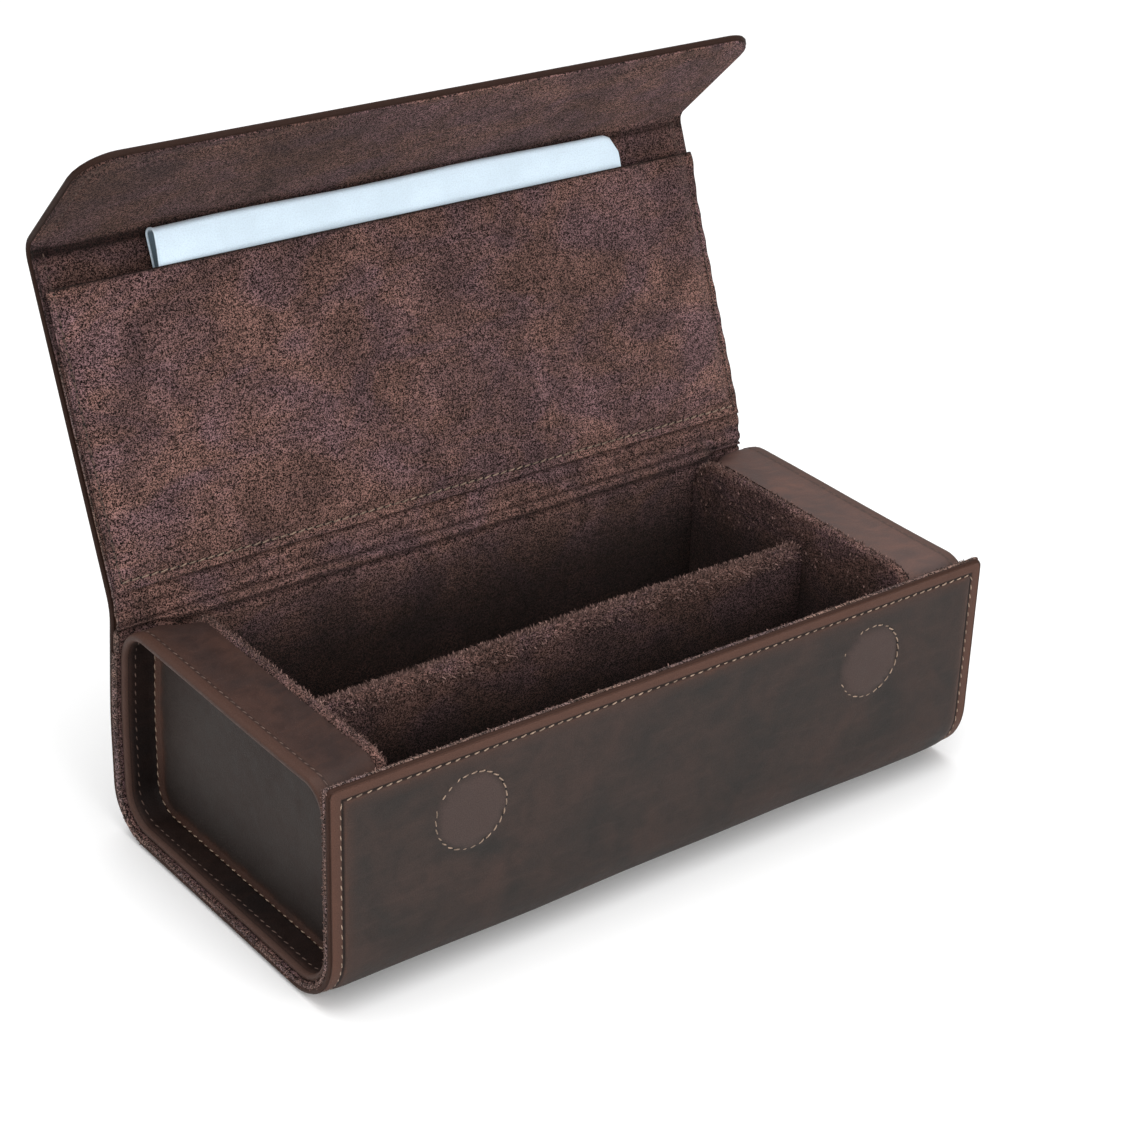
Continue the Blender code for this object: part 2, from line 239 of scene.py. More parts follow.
class Path:
    """A line in Y and Z that a sheet follows; outward is the side away from the inside."""

    def __init__(self, points, first=0.0):
        self.points = np.array(points)
        self.lengths = first + run_lengths(self.points)
        ways = np.gradient(self.points, self.lengths, axis=0)
        ways /= np.linalg.norm(ways, axis=1)[:, None]
        self.outward = np.stack((ways[:, 1], -ways[:, 0]), axis=1)
        self.first = self.lengths[0]
        self.last = self.lengths[-1]

    def at(self, along):
        """Points and outward normals at some lengths along the path."""
        return (read_along(along, self.lengths, self.points),
                read_along(along, self.lengths, self.outward))

    def height(self, along):
        return self.at(along)[0][..., 1]

    def nearest(self, spot):
        """The length along the path of its point nearest to a spot."""
        return self.lengths[np.argmin(np.linalg.norm(self.points - spot, axis=1))]

    def bulge(self, along):
        """The back wall's bulge at some lengths along the path."""
        places, _ = self.at(along)
        return back_bulge(places[..., 0], places[..., 1])

    def facing_back(self, along):
        """1 where the path's outward side faces back, 0 where it faces down or forward."""
        _, sides = self.at(along)
        return np.clip(sides[..., 0], 0, 1)


LID_WAY = on_lid(-1, 0) - on_lid(0, 0)
FLAP_WAY = on_flap(0, -1) - on_flap(0, 0)


def wall_stretch(inset, back_inset, seam_z):
    """Down the front, round under the base and up the back as far as the seam."""
    front = -HALF_DEPTH + FRONT_CORNER
    back = HALF_DEPTH - BACK_CORNER
    low_arc = arc((front, FRONT_CORNER), FRONT_CORNER - inset, 180, 270)
    back_arc = [np.array((back, BACK_CORNER)) + np.array(
        ((BACK_CORNER - back_inset) * math.cos(a), (BACK_CORNER - inset) * math.sin(a)))
        for a in np.radians(np.linspace(270, 360, 15))]
    return joined(line((-HALF_DEPTH + inset, HEIGHT), low_arc[0]), low_arc,
                  line(low_arc[-1], back_arc[0]), back_arc,
                  line(back_arc[-1], (HALF_DEPTH - back_inset, seam_z)))


def layer_paths(wall, bend_z, lid_y, top, fold, out, short, steps, soften=list):
    """One layer of the wrap: its wall round the body, then up over the lid and down the flap.
    fold and out are the bend's size and its distance outside the crease."""
    bend_start = (wall[-1][0], bend_z)
    lid_start = on_lid(lid_y, top)
    lid_end = on_lid(LID_SEAM_Y, top)
    fold_start = on_lid(CREASE.y + fold, top)
    fold_end = on_flap(CREASE.y - out, CREASE.z - fold)
    flap_end = on_flap(CREASE.y - out, CREASE.z - FLAP_LENGTH + short)
    body = Path(soften(wall))
    lid = Path(soften(joined(line(wall[-1], bend_start, 1 * MM),
                             bend(bend_start, (0, 1), lid_start, LID_WAY),
                             line(lid_start, lid_end))), body.last)
    flap = Path(joined(line(lid_end, fold_start),
                       bend(fold_start, LID_WAY, fold_end, FLAP_WAY, steps),
                       line(fold_end, flap_end)), lid.last)
    return body, lid, flap


WRAP_BODY, WRAP_LID, WRAP_FLAP = layer_paths(
    wall_stretch(0, 0, BACK_SEAM_Z), bend_z=52 * MM, lid_y=LID_BACK - 1 * MM, top=LID_TOP,
    fold=2 * MM, out=FLAP_OUT, short=LEATHER_EDGE, steps=16, soften=bulged)
LINING_BODY, LINING_LID, LINING_FLAP = layer_paths(
    wall_stretch(WALL, BACK_WALL, LINING_SEAM_Z), bend_z=55 * MM, lid_y=LID_BACK + 1 * MM,
    top=LID_LINING_Z, fold=1 * MM, out=0.0, short=LEATHER_EDGE + LINING_EDGE, steps=8)


# ---- meshes

def edge_distance(side, end, radius):
    """How far a point is from a sheet's edge, which is rounded where a side meets an end."""
    near = (side < radius) & (end < radius)
    corner = radius - np.hypot(radius - side, radius - end)
    return np.where(near, corner, np.minimum(side, end))


def spaced(low, high, step, fine_low=False, fine_high=False):
    """Lengths from low to high, crowded near the ends that are edges of the sheet."""
    crowd = np.array((0, 0.3, 0.7, 1.2, 1.8, 2.3, 2.6, 2.8, 3.0, 3.2, 3.4, 3.7, 4.2, 5.0, 6.0, 7.5)) * MM
    first = low + crowd if fine_low else np.array((low,))
    last = high - crowd[::-1] if fine_high else np.array((high,))
    middle = np.linspace(first[-1], last[0], max(2, math.ceil((last[0] - first[-1]) / step)) + 1)
    return np.concatenate((first, middle[1:-1], last))


def add_mesh(name, points, faces, materials, flat=None, values=None, face_materials=None):
    """An object from arrays: flat is each point's place on the unrolled sheet."""
    mesh = bpy.data.meshes.new(name)
    mesh.from_pydata([tuple(p) for p in points], [], faces)
    mesh.update()
    mesh.polygons.foreach_set("use_smooth", [True] * len(mesh.polygons))
    if flat is not None:
        corners = np.empty(len(mesh.loops), np.int32)
        mesh.loops.foreach_get("vertex_index", corners)
        layer = mesh.uv_layers.new(name="UVMap")
        layer.data.foreach_set("uv", (np.asarray(flat)[corners] * 10).astype(np.float32).ravel())
    for key, data in (values or {}).items():
        layer = mesh.attributes.new(key, "FLOAT", "POINT")
        layer.data.foreach_set("value", np.asarray(data, np.float32))
    for material in materials:
        mesh.materials.append(material)
    if face_materials is not None:
        mesh.polygons.foreach_set("material_index", face_materials)
    made = bpy.data.objects.new(name, mesh)
    bpy.context.scene.collection.objects.link(made)
    return made


def strip_faces(first, second, closed=False):
    """Quads between two rows of point numbers."""
    count = len(first)
    pairs = range(count if closed else count - 1)
    return [(first[i], second[i], second[(i + 1) % count], first[(i + 1) % count]) for i in pairs]


def outward(ways, away):
    """Unit vectors along ways, all turned to the side that away points to on the whole."""
    ways = ways * np.sign(np.sum(ways * away))
    return ways / np.linalg.norm(ways, axis=1)[:, None]


def edge_chains(shape, first_edge, last_edge):
    """The grid places along a sheet's open edges, in order, each with whether it closes."""
    n_rows, n_cols = shape
    left = [(r, 0) for r in range(n_rows - 1, -1, -1)]
    right = [(r, n_cols - 1) for r in range(n_rows)]
    first = [(0, c) for c in range(1, n_cols - 1)]
    last = [(n_rows - 1, c) for c in range(n_cols - 2, 0, -1)]
    if first_edge and last_edge:
        return [(left + first + right + last, True)]
    if first_edge:
        return [(left + first + right, False)]
    if last_edge:
        return [(right + last + left, False)]
    return [(left, False), (right, False)]


def place_inside(chain, shape, first_edge, last_edge):
    """The grid place one step in from the edge, for each place of a chain."""
    last_row, last_column = shape[0] - 1, shape[1] - 1
    inside = []
    for r, c in chain:
        if (r == 0 and first_edge) or (r == last_row and last_edge):
            r = min(max(r, 1), last_row - 1)
        inside.append((r, min(max(c, 1), last_column - 1)))
    return tuple(np.array(inside).T)


def sheet(name, path, rows, step, half, face, behind, materials, first_edge=False, last_edge=False,
          radius=0.0, width_at=None, tint=None):
    """A sheet of material along a path, half wide on each side. face is how far its front stands
    outward of the path, and behind the same for its back, or its thickness. Open edges are
    rounded over, and meet at corners of the given radius. The last material is the cut edge's,
    and tint is a value of 0 to 1: the leather's tone over its magnets, and painted shade on suede."""
    places, sides = path.at(rows)
    shares = spaced(-half, half, step, True, True) / half
    widths = np.array([width_at(row) if width_at else half for row in rows])
    along = np.repeat(rows[:, None], len(shares), 1)
    across = shares[None, :] * widths[:, None]
    edge = half - np.abs(across)
    if first_edge:
        edge = edge_distance(edge, along - path.first, radius)
    elif last_edge:
        edge = edge_distance(edge, path.last - along, radius)
    front = face(across, along, edge)
    levels = (front, behind(across, along, edge) if callable(behind) else front + behind)
    layers = [np.dstack((across, places[:, None, :] + sides[:, None, :] * level[:, :, None]))
              for level in levels]
    spread = np.dstack((across, along))
    tints = tint(across, along) if tint else np.zeros(across.shape)
    count = across.size
    grid = np.arange(count).reshape(across.shape)
    points = [layer.reshape(-1, 3) for layer in layers]
    flat = [spread.reshape(-1, 2)] * 2
    edges = [edge.ravel()] * 2
    shades = [tints.ravel()] * 2
    faces = []
    for above, below in zip(grid, grid[1:]):
        faces += strip_faces(above, below)
        faces += [(c + count, b + count, a + count, d + count)
                  for d, a, b, c in strip_faces(above, below)]
    kinds = [0] * len(faces)
    used = 2 * count
    for chain, closed in edge_chains(across.shape, first_edge, last_edge):
        inside = place_inside(chain, across.shape, first_edge, last_edge)
        chain = tuple(np.array(chain).T)
        top, low, flat_top = layers[0][chain], layers[1][chain], spread[chain]
        flat_turn = np.gradient(flat_top, axis=0) @ np.array(((0, -1), (1, 0)))
        flat_way = outward(flat_turn, flat_top - spread[inside])
        through = top - low
        thick = np.linalg.norm(through, axis=1)[:, None]
        way = outward(np.cross(np.gradient(top, axis=0), through), top - layers[0][inside])
        before = list(grid[chain])
        for k in range(1, RIM_STEPS):
            angle = math.pi * k / RIM_STEPS
            points.append((top + low) / 2 + through * math.cos(angle) / 2
                          + way * thick * RIM_ROUND * math.sin(angle))
            flat.append(flat_top + flat_way * thick * k / RIM_STEPS)
            edges.append(np.full(len(top), RIM_EDGE))
            shades.append(tints[chain])
            here = list(range(used, used + len(top)))
            used += len(top)
            faces += strip_faces(before, here, closed)
            before = here
        faces += strip_faces(before, list(grid[chain] + count), closed)
    kinds += [len(materials) - 1] * (len(faces) - len(kinds))
    if np.mean(levels[0]) < np.mean(levels[1]):
        faces = [corners[::-1] for corners in faces]
    return add_mesh(name, np.concatenate(points), faces, materials, np.concatenate(flat),
                    {"edge": np.concatenate(edges) / MM, "tint": np.concatenate(shades)}, kinds)


def loft(name, rings, flats, material, closed=False, flip=False, values=None, caps=False,
         middle=None):
    """A skin through rows of points, with its ends capped or its last row drawn in to a middle."""
    rings = np.asarray(rings)
    points = list(rings.reshape(-1, 3))
    flat = list(np.reshape(flats, (-1, 2)))
    numbers = np.arange(len(points)).reshape(rings.shape[:2])
    faces = []
    for first, second in zip(numbers, numbers[1:]):
        faces += strip_faces(first, second, closed)
    if middle is not None:
        last = list(numbers[-1])
        faces += [(here, len(points), there) for here, there in zip(last, last[1:] + last[:1])]
        points.append(middle)
        flat.append(middle[1:])
    if flip:
        faces = [corners[::-1] for corners in faces]
    if caps:
        faces += [tuple(numbers[0]), tuple(numbers[-1][::-1])]
    return add_mesh(name, points, faces, [material], flat, values)


# ---- materials

def times(colour, share):
    return tuple(c * share for c in colour)


class Nodes:
    """Short calls for building one material's nodes."""

    def __init__(self, name):
        self.material = bpy.data.materials.new(name)
        self.material.use_nodes = True
        self.tree = self.material.node_tree
        self.shader = self.tree.nodes["Principled BSDF"]

    def add(self, kind, inputs=None, **settings):
        made = self.tree.nodes.new(kind)
        for key, value in settings.items():
            setattr(made, key, value)
        for key, value in (inputs or {}).items():
            self.put(made, key, value)
        return made

    def put(self, node, key, value):
        socket = node.inputs[key]
        if isinstance(value, bpy.types.NodeSocket):
            self.tree.links.new(value, socket)
        else:
            socket.default_value = value

    def surface(self, **inputs):
        for key, value in inputs.items():
            self.put(self.shader, key.replace("_", " "), value)
        return self.material

    def math(self, operation, a, b=0.0, c=0.0):
        made = self.add("ShaderNodeMath", {0: a, 1: b, 2: c}, operation=operation)
        return made.outputs[0]

    def flat(self, stretch=(1, 1, 1)):
        """A point's place on the unrolled sheet, in units of 100 mm."""
        place = self.add("ShaderNodeUVMap", uv_map="UVMap").outputs[0]
        return self.add("ShaderNodeMapping", {"Vector": place, "Scale": stretch}).outputs[0]

    def noise(self, place, scale, detail=4.0, roughness=0.55, distortion=0.0):
        made = self.add("ShaderNodeTexNoise", {"Vector": place, "Scale": scale, "Detail": detail,
                                                "Roughness": roughness, "Distortion": distortion})
        return made.outputs["Fac"]

    def ramp(self, value, *stops):
        """Colours or greys by value; each stop is (position, grey or (r, g, b))."""
        made = self.add("ShaderNodeValToRGB", {"Fac": value})
        elements = made.color_ramp.elements
        while len(elements) < len(stops):
            elements.new(0.5)
        for element, (position, colour) in zip(elements, stops):
            element.position = position
            if isinstance(colour, (int, float)):
                colour = (colour, colour, colour)
            element.color = (*colour, 1.0)
        return made.outputs["Color"]

    def mix(self, share, first, second, blend="MIX"):
        made = self.add("ShaderNodeMix", data_type="RGBA", blend_type=blend)
        for key, value in ((0, share), (6, first), (7, second)):
            if isinstance(value, tuple) and len(value) == 3:
                value = (*value, 1.0)
            self.put(made, key, value)
        return made.outputs[2]

    def attribute(self, name):
        return self.add("ShaderNodeAttribute", attribute_name=name).outputs["Fac"]

    def bump(self, height, distance, strength=1.0, under=None):
        made = self.add("ShaderNodeBump", {"Height": height, "Distance": distance, "Strength": strength})
        if under is not None:
            self.put(made, "Normal", under)
        return made.outputs[0]


def leather(name, base, warm, worn, wear_to=3.4, cut=0.3, warmth=1.0, seam_shade=0.85, shine=0.09):
    """Oiled pull-up leather: cloudy, finely grained, lighter and redder where edges rub."""
    n = Nodes(name)
    place = n.flat()
    cloud = n.noise(place, 4.6, 4.0, 0.55, 0.6)
    mottle = n.noise(place, 22.0, 6.0, 0.62, 0.3)
    streak = n.noise(n.flat((1.0, 5.0, 1.0)), 9.0, 5.0, 0.6)
    dark = times(base, 0.70)
    colour = n.mix(n.ramp(cloud, (0.34, 0.0), (0.72, warmth)), base, warm)
    colour = n.mix(n.ramp(mottle, (0.36, 0.42), (0.56, 0.0)), colour, dark)
    colour = n.mix(n.ramp(streak, (0.52, 0.0), (0.78, 0.35)), colour, times(warm, 1.25))
    edge = n.attribute("edge")
    rub = n.math("MULTIPLY_ADD", mottle, 4.2, n.math("MULTIPLY", cloud, 3.0))
    reach = n.math("ADD", edge, n.math("SUBTRACT", rub, 3.6))
    wear = n.ramp(n.math("DIVIDE", reach, wear_to + 3.0),
                  (0.0, 0.95), (0.40, 0.70), (0.66, 0.18), (1.0, 0.0))
    colour = n.mix(wear, colour, worn)
    scuff = n.noise(n.flat((6.0, 1.0, 1.0)), 60.0, 2.0, 0.5)
    colour = n.mix(n.ramp(scuff, (0.68, 0.0), (0.80, 0.25)), colour, times(worn, 1.6))
    colour = n.mix(n.math("MULTIPLY", n.attribute("tint"), 0.75), colour, COLOUR["disc"])
    # The shade attribute is painted shade: on the end bands' inner walls and towards the end panels'
    # bottoms.
    colour = n.mix(n.attribute("shade"), colour, (0.22, 0.19, 0.18), "MULTIPLY")
    # Painted shade along the stitch groove, as strong as seam_shade.
    off_seam = n.math("ABSOLUTE", n.math("SUBTRACT", edge, STITCH_INSET / MM))
    colour = n.mix(n.ramp(off_seam, (0.12, seam_shade), (0.55, 0.0)), colour, times(dark, 0.3))
    raw = n.ramp(n.math("ADD", edge, 0.5), (0.30, 1.0), (0.60 + cut, 0.0))
    colour = n.mix(raw, colour, times(worn, 0.42))
    rough = n.ramp(mottle, (0.3, 0.50), (0.7, 0.66))
    grain = n.noise(place, 330.0, 3.0, 0.6)
    colour = n.mix(1.0, colour, n.ramp(grain, (0.34, 0.74), (0.62, 1.0)), "MULTIPLY")
    pores = n.add("ShaderNodeTexVoronoi", {"Vector": place, "Scale": 190.0}).outputs["Distance"]
    height = n.math("MULTIPLY_ADD", grain, 0.6, n.math("MULTIPLY", pores, 0.5))
    normal = n.bump(height, 0.10 * MM, 0.55)
    normal = n.bump(n.noise(place, 16.0, 3.0, 0.5), 0.5 * MM, 0.35, normal)
    return n.surface(Base_Color=colour, Roughness=rough, Normal=normal, Specular_IOR_Level=shine)


def suede(name, base, contrast=0.64, nap=1.0):
    """Brushed suede: mottled where the nap lies one way or the other, and finely speckled."""
    n = Nodes(name)
    place = n.flat()
    patch = n.noise(n.flat((1.0, 1.8, 1.0)), 3.6, 5.0, 0.6, 0.8)
    brushed = n.noise(n.flat((1.6, 1.0, 1.0)), 2.3, 4.0, 0.55, 1.2)
    blotch = n.noise(place, 14.0, 4.0, 0.6, 0.2)
    grain = n.add("ShaderNodeTexVoronoi", {"Vector": place, "Scale": 430.0, "Randomness": 1.0})
    tufts = n.add("ShaderNodeSeparateColor", {"Color": grain.outputs["Color"]}).outputs["Red"]
    fine = n.noise(n.flat((1.0, 1.3, 1.0)), 400.0, 3.0, 0.9)
    speck = n.math("ADD", n.math("MULTIPLY", tufts, 0.40), n.math("MULTIPLY", fine, 0.60))
    rib = n.noise(n.flat((1.0, 7.0, 1.0)), 26.0, 3.0, 0.6)
    bright = 1 + 3.6 * contrast
    dim = 1 - 1.5 * contrast
    purple, orange = (tuple(c * bright * share for c, share in zip(base, hue))
                      for hue in ((0.92, 0.94, 1.06), (1.10, 1.06, 0.95)))
    colour = n.mix(n.ramp(patch, (0.40, 0.0), (0.58, 1.0)), purple, orange)
    for shade in (n.ramp(speck, (0.38, dim / bright), (0.50, 1 / bright), (0.62, 1.0)),
                  n.ramp(brushed, (0.40, 0.64), (0.60, 1.0)),
                  n.ramp(blotch, (0.36, 0.76), (0.62, 1.0)),
                  n.ramp(rib, (0.36, 0.60), (0.48, 1.0))):
        colour = n.mix(1.0, colour, shade, "MULTIPLY")
    # The tint attribute is painted shade: down the compartments, in the lining's creases, under the flap
    # and at the pocket's mouth; it also darkens the flap towards its left.
    colour = n.mix(n.attribute("tint"), colour, (0.07, 0.05, 0.05), "MULTIPLY")
    height = n.math("ADD", speck, n.math("MULTIPLY", rib, 0.5))
    normal = n.bump(height, 0.45 * MM * nap, 0.9)
    normal = n.bump(blotch, 0.5 * MM, 0.4, normal)
    return n.surface(Base_Color=colour, Roughness=0.97, Normal=normal, Specular_IOR_Level=0.05,
                     Sheen_Weight=0.10, Sheen_Roughness=0.55, Sheen_Tint=(0.75, 0.62, 0.55, 1.0))


def plain(name, colour, roughness, metallic=0.0, spread=0.25):
    """A small-scale finish from object space, for thread, board and steel."""
    n = Nodes(name)
    place = n.add("ShaderNodeTexCoord").outputs["Object"]
    speck = n.noise(place, 900.0, 3.0, 0.6)
    bright = tuple(min(1.0, c) for c in times(colour, 1 + spread))
    shade = n.mix(n.ramp(speck, (0.35, 0.0), (0.65, 1.0)), times(colour, 1 - spread), bright)
    return n.surface(Base_Color=shade, Roughness=roughness, Metallic=metallic,
                     Normal=n.bump(speck, 0.05 * MM, 0.6))


def fibres(name, dark, light):
    """Loose suede fibres, each its own shade."""
    n = Nodes(name)
    shade = n.ramp(n.attribute("shade"), (0.0, dark), (1.0, light))
    return n.surface(Base_Color=shade, Roughness=0.9, Specular_IOR_Level=0.2)


def microfibre(name, colour):
    """A brushed pale cloth with a fine soft nap."""
    n = Nodes(name)
    place = n.flat()
    nap = n.noise(place, 260.0, 4.0, 0.7)
    cloud = n.noise(place, 9.0, 4.0, 0.6)
    shade = n.mix(n.ramp(cloud, (0.35, 0.0), (0.65, 1.0)), times(colour, 0.92), colour)
    shade = n.mix(n.ramp(nap, (0.35, 0.45), (0.55, 0.0)), shade, times(colour, 0.72))
    # The shade attribute is painted shade where the cloth's layers lie close: on the back layer, seen
    # inside its open end.
    shade = n.mix(n.attribute("shade"), shade, (0.30, 0.34, 0.36), "MULTIPLY")
    return n.surface(Base_Color=shade, Roughness=0.95, Normal=n.bump(nap, 0.22 * MM, 0.6),
                     Specular_IOR_Level=0.15, Sheen_Weight=0.3)


COLOUR = {
    "leather": (0.030, 0.0258, 0.0238),
    "warm": (0.053, 0.0345, 0.0295),
    "worn": (0.092, 0.0435, 0.0305),
    "band": (0.029, 0.0175, 0.0155),
    "band_warm": (0.062, 0.0285, 0.0205),
    "panel": (0.047, 0.0375, 0.0335),
    "disc": (0.069, 0.047, 0.042),
    "suede": (0.110, 0.0605, 0.0560),
    "edge_suede": (0.120, 0.078, 0.070),
    "fibre_dark": (0.012, 0.006, 0.005),
    "fibre_light": (0.29, 0.175, 0.150),
    "thread": (0.23, 0.16, 0.115),
    "dark_thread": (0.085, 0.050, 0.038),
    # Painted shade: the needle holes are near black for the shade inside them.
    "hole": (0.006, 0.004, 0.003),
    "cloth": (0.72, 0.86, 0.97),
    "board": (0.30, 0.28, 0.25),
    "steel": (0.55, 0.55, 0.56),
}
# How much paler the right end block's leather is painted: a painted sheen highlight.
RIGHT_BAND_PAINTED_SHEEN = 2.4


def end_leather(name, lift, shine):
    """The end blocks' softer leather; the right one is painted paler, a painted sheen highlight."""
    return leather(name, times(COLOUR["band"], lift), times(COLOUR["band_warm"], lift),
                   times(COLOUR["worn"], 0.75), wear_to=3.0, cut=0.0, seam_shade=0.5, shine=shine)


def make_materials():
    hide_colours = COLOUR["leather"], COLOUR["warm"]
    worn = COLOUR["worn"]
    return {
        "leather": leather("oiled_leather", *hide_colours, worn),
        "lid_leather": leather("lid_leather_dark", *hide_colours, times(worn, 0.7), wear_to=1.6),
        "left_band": end_leather("left_end_leather", 1.0, 0.2),
        # The right end block is painted paler, a painted sheen highlight.
        "right_band": end_leather("right_end_leather_painted_sheen", RIGHT_BAND_PAINTED_SHEEN, 0.4),
        "panel": leather("panel_leather", COLOUR["panel"], COLOUR["band"], worn,
                         wear_to=1.2, cut=0.0, warmth=0.6, seam_shade=0.0),
        "suede": suede("brushed_suede", COLOUR["suede"]),
        "edge_suede": suede("cut_suede", COLOUR["edge_suede"], contrast=0.7, nap=1.5),
        "fibre": fibres("suede_fibres", COLOUR["fibre_dark"], COLOUR["fibre_light"]),
        "thread": plain("tan_thread", COLOUR["thread"], 0.75, spread=0.45),
        "dark_thread": plain("brown_thread", COLOUR["dark_thread"], 0.8, spread=0.4),
        "hole": plain("needle_hole_painted_shade", COLOUR["hole"], 0.95),
        "cloth": microfibre("lens_cloth", COLOUR["cloth"]),
        "board": plain("grey_board", COLOUR["board"], 0.9),
        "steel": plain("magnet_steel", COLOUR["steel"], 0.35, metallic=1.0, spread=0.1),
    }


MATERIAL = make_materials()
SUEDE_AND_CUT = [MATERIAL["suede"], MATERIAL["edge_suede"]]


# ---- how the pieces move


def with_case(piece):
    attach(piece, "case")


def with_lid(piece):
    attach(piece, "lid")


def over_hinge(piece):
    """For a piece that runs from the case over the hinge onto the lid: it only has its place baked in, and
    is tied to neither part.
    """
    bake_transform(piece)


def over_crease(piece):
    """For a piece that runs from the lid over the crease onto the flap: it only has its place baked in, and
    is tied to neither part.
    """
    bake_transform(piece)


def fit(piece, move, slot, *nodes):
    """Says how a piece moves and hides the CAD nodes it stands for; slot, what it is made of, is not used.
    """
    move(piece)
    if nodes:
        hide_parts(*nodes)


# ---- stitches

ROUND_ANGLES = [2 * math.pi * k / ROUND_SIDES for k in range(ROUND_SIDES)]


def stitch_shape():
    """One stitch along X, its ends dipping into the surface, with its faces."""
    rings = ((-1.0, 0.35), (-0.72, 0.85), (-0.25, 1.0), (0.25, 1.0), (0.72, 0.85), (1.0, 0.35))
    points = [(along * STITCH_LENGTH / 2, THREAD * size * math.cos(angle),
               THREAD * size * math.sin(angle) - THREAD * 1.1 * along * along)
              for along, size in rings for angle in ROUND_ANGLES]
    numbers = np.arange(len(points)).reshape(len(rings), ROUND_SIDES)
    faces = []
    for low, high in zip(numbers, numbers[1:]):
        faces += strip_faces(high, low, True)
    return points, faces + [tuple(numbers[0]), tuple(numbers[-1][::-1])]


def hole_shape():
    """A needle hole: a small blister, nearly flush and dark with painted shade, with its faces."""
    radius = THREAD * HOLE_SIZE
    points = [(0.0, 0.0, THREAD * 0.30)]
    points += [(radius * math.cos(angle), radius * math.sin(angle), -THREAD * 0.25)
               for angle in ROUND_ANGLES]
    return points, [(0, 1 + k, 1 + (k + 1) % ROUND_SIDES) for k in range(ROUND_SIDES)]


def stitches(name, points, normals, material, move, pitch=STITCH_PITCH):
    """A row of stitches and needle holes along a line of points on a surface."""
    chance = random.Random(name)
    lengths = run_lengths(points)
    count = max(1, round(lengths[-1] / pitch))
    pitch = lengths[-1] / count

    def axes(along):
        up = Vector(read_along(along, lengths, normals)).normalized()
        before, after = (read_along(along + step, lengths, points) for step in (-0.3 * MM, 0.3 * MM))
        way = Vector(after - before)
        way = (way - up * way.dot(up)).normalized()
        return Vector(read_along(along, lengths, points)), way, up

    shapes = ((*stitch_shape(), 0.5), (*hole_shape(), 0.0))
    made_points, faces, kinds = [], [], []
    for i in range(count):
        for kind, (shape, shape_faces, share) in enumerate(shapes):
            place, way, up = axes((i + share) * pitch)
            if kind == 0:
                way = Matrix.Rotation(math.radians(STITCH_SLANT_DEG + chance.uniform(-4, 4)), 3, up) @ way
                place = place + up * chance.uniform(-0.03, 0.05) * MM
            turn = Matrix((way, up.cross(way), up)).transposed()
            start = len(made_points)
            made_points += [place + turn @ Vector(point) for point in shape]
            faces += [tuple(start + k for k in corners) for corners in shape_faces]
            kinds += [kind] * len(shape_faces)
    made = add_mesh(name, made_points, faces, [material, MATERIAL["hole"]], face_materials=kinds)
    fit(made, move, "edge_leather")


def seam(name, path, way, lift, move, thread="thread", pitch=STITCH_PITCH, inside=False):
    """Stitches along a line given as (across, along) on a sheet's path, lifted outward of it."""
    way = np.array(way)
    dense = [way[0]]
    for a, b in zip(way, way[1:]):
        count = max(1, math.ceil(np.linalg.norm(b - a) / SEAM_STEP))
        dense += [a + (b - a) * k / count for k in range(1, count + 1)]
    dense = np.array(dense)
    places, sides = path.at(dense[:, 1])
    points = np.column_stack((dense[:, 0], places + sides * lift))
    normals = np.column_stack((np.zeros(len(dense)), sides)) * (-1 if inside else 1)
    stitches(name, points, normals, MATERIAL[thread], move, pitch)


def sew_discs(name, path, middle, move):
    """A round seam over each magnet, centred at a length along the path."""
    for side, sign in SIDES:
        ring = [(sign * DISC_X + DISC * math.cos(a), middle + DISC * math.sin(a))
                for a in np.linspace(0, 2 * math.pi, 49)]
        seam(f"{name}_{side}", path, ring, DISC_SINK, move, pitch=DISC_PITCH)


def round_corner(corner, start_way, end_way, radius):
    """Points round a seam's corner, from one direction to the other."""
    corner, start_way, end_way = (np.array(v, float) for v in (corner, start_way, end_way))
    centre = corner - start_way * radius + end_way * radius
    return [centre + radius * (-end_way * math.cos(a) + start_way * math.sin(a))
            for a in np.linspace(0, math.pi / 2, 7)]


def round_the_end(inset, start, end, radius):
    """A seam's line along a sheet's left side, round its open end and back along its right."""
    turn = math.copysign(1, end - start)
    return ([(-inset, start)]
            + round_corner((-inset, end), (0, turn), (1, 0), radius)
            + round_corner((inset, end), (1, 0), (0, -turn), radius)
            + [(inset, start)])


# ---- fuzz

def any_way(chance):
    return Vector([chance.gauss(0, 1) for _ in range(3)])


def fuzz(name, spots, normals, count, length):
    """Short tapered fibres scattered between points of a surface, thick as clumps of nap."""
    chance = random.Random(name)
    made_points, faces, shades = [], [], []
    for _ in range(count):
        i = chance.randrange(len(spots))
        up = Vector(normals[i])
        side = any_way(chance)
        side = (side - up * side.dot(up)).normalized()
        place = Vector(spots[i]) + Vector([chance.uniform(-0.5, 0.5) * MM for _ in range(3)])
        place -= up * 0.25 * MM
        way = (up + side * chance.uniform(0, 0.8)).normalized()
        tip_way = (way + side * chance.uniform(0, 0.9) + Vector((0, 0, -0.3))).normalized()
        reach = length * chance.uniform(0.55, 1.25)
        flat_way = way.cross(any_way(chance)).normalized()
        half = chance.uniform(0.10, 0.17) * MM
        middle = place + way * reach * 0.6
        start = len(made_points)
        made_points += [place - flat_way * half, place + flat_way * half,
                        middle + flat_way * half * 0.8, middle - flat_way * half * 0.8,
                        middle + tip_way * reach * 0.45]
        faces += [(start, start + 1, start + 2, start + 3), (start + 3, start + 2, start + 4)]
        shades += [chance.random()] * 5
    made = add_mesh(name, made_points, faces, [MATERIAL["fibre"]], values={"shade": shades})
    fit(made, with_case, "suede")
    return made


# ---- surfaces shared by sheets

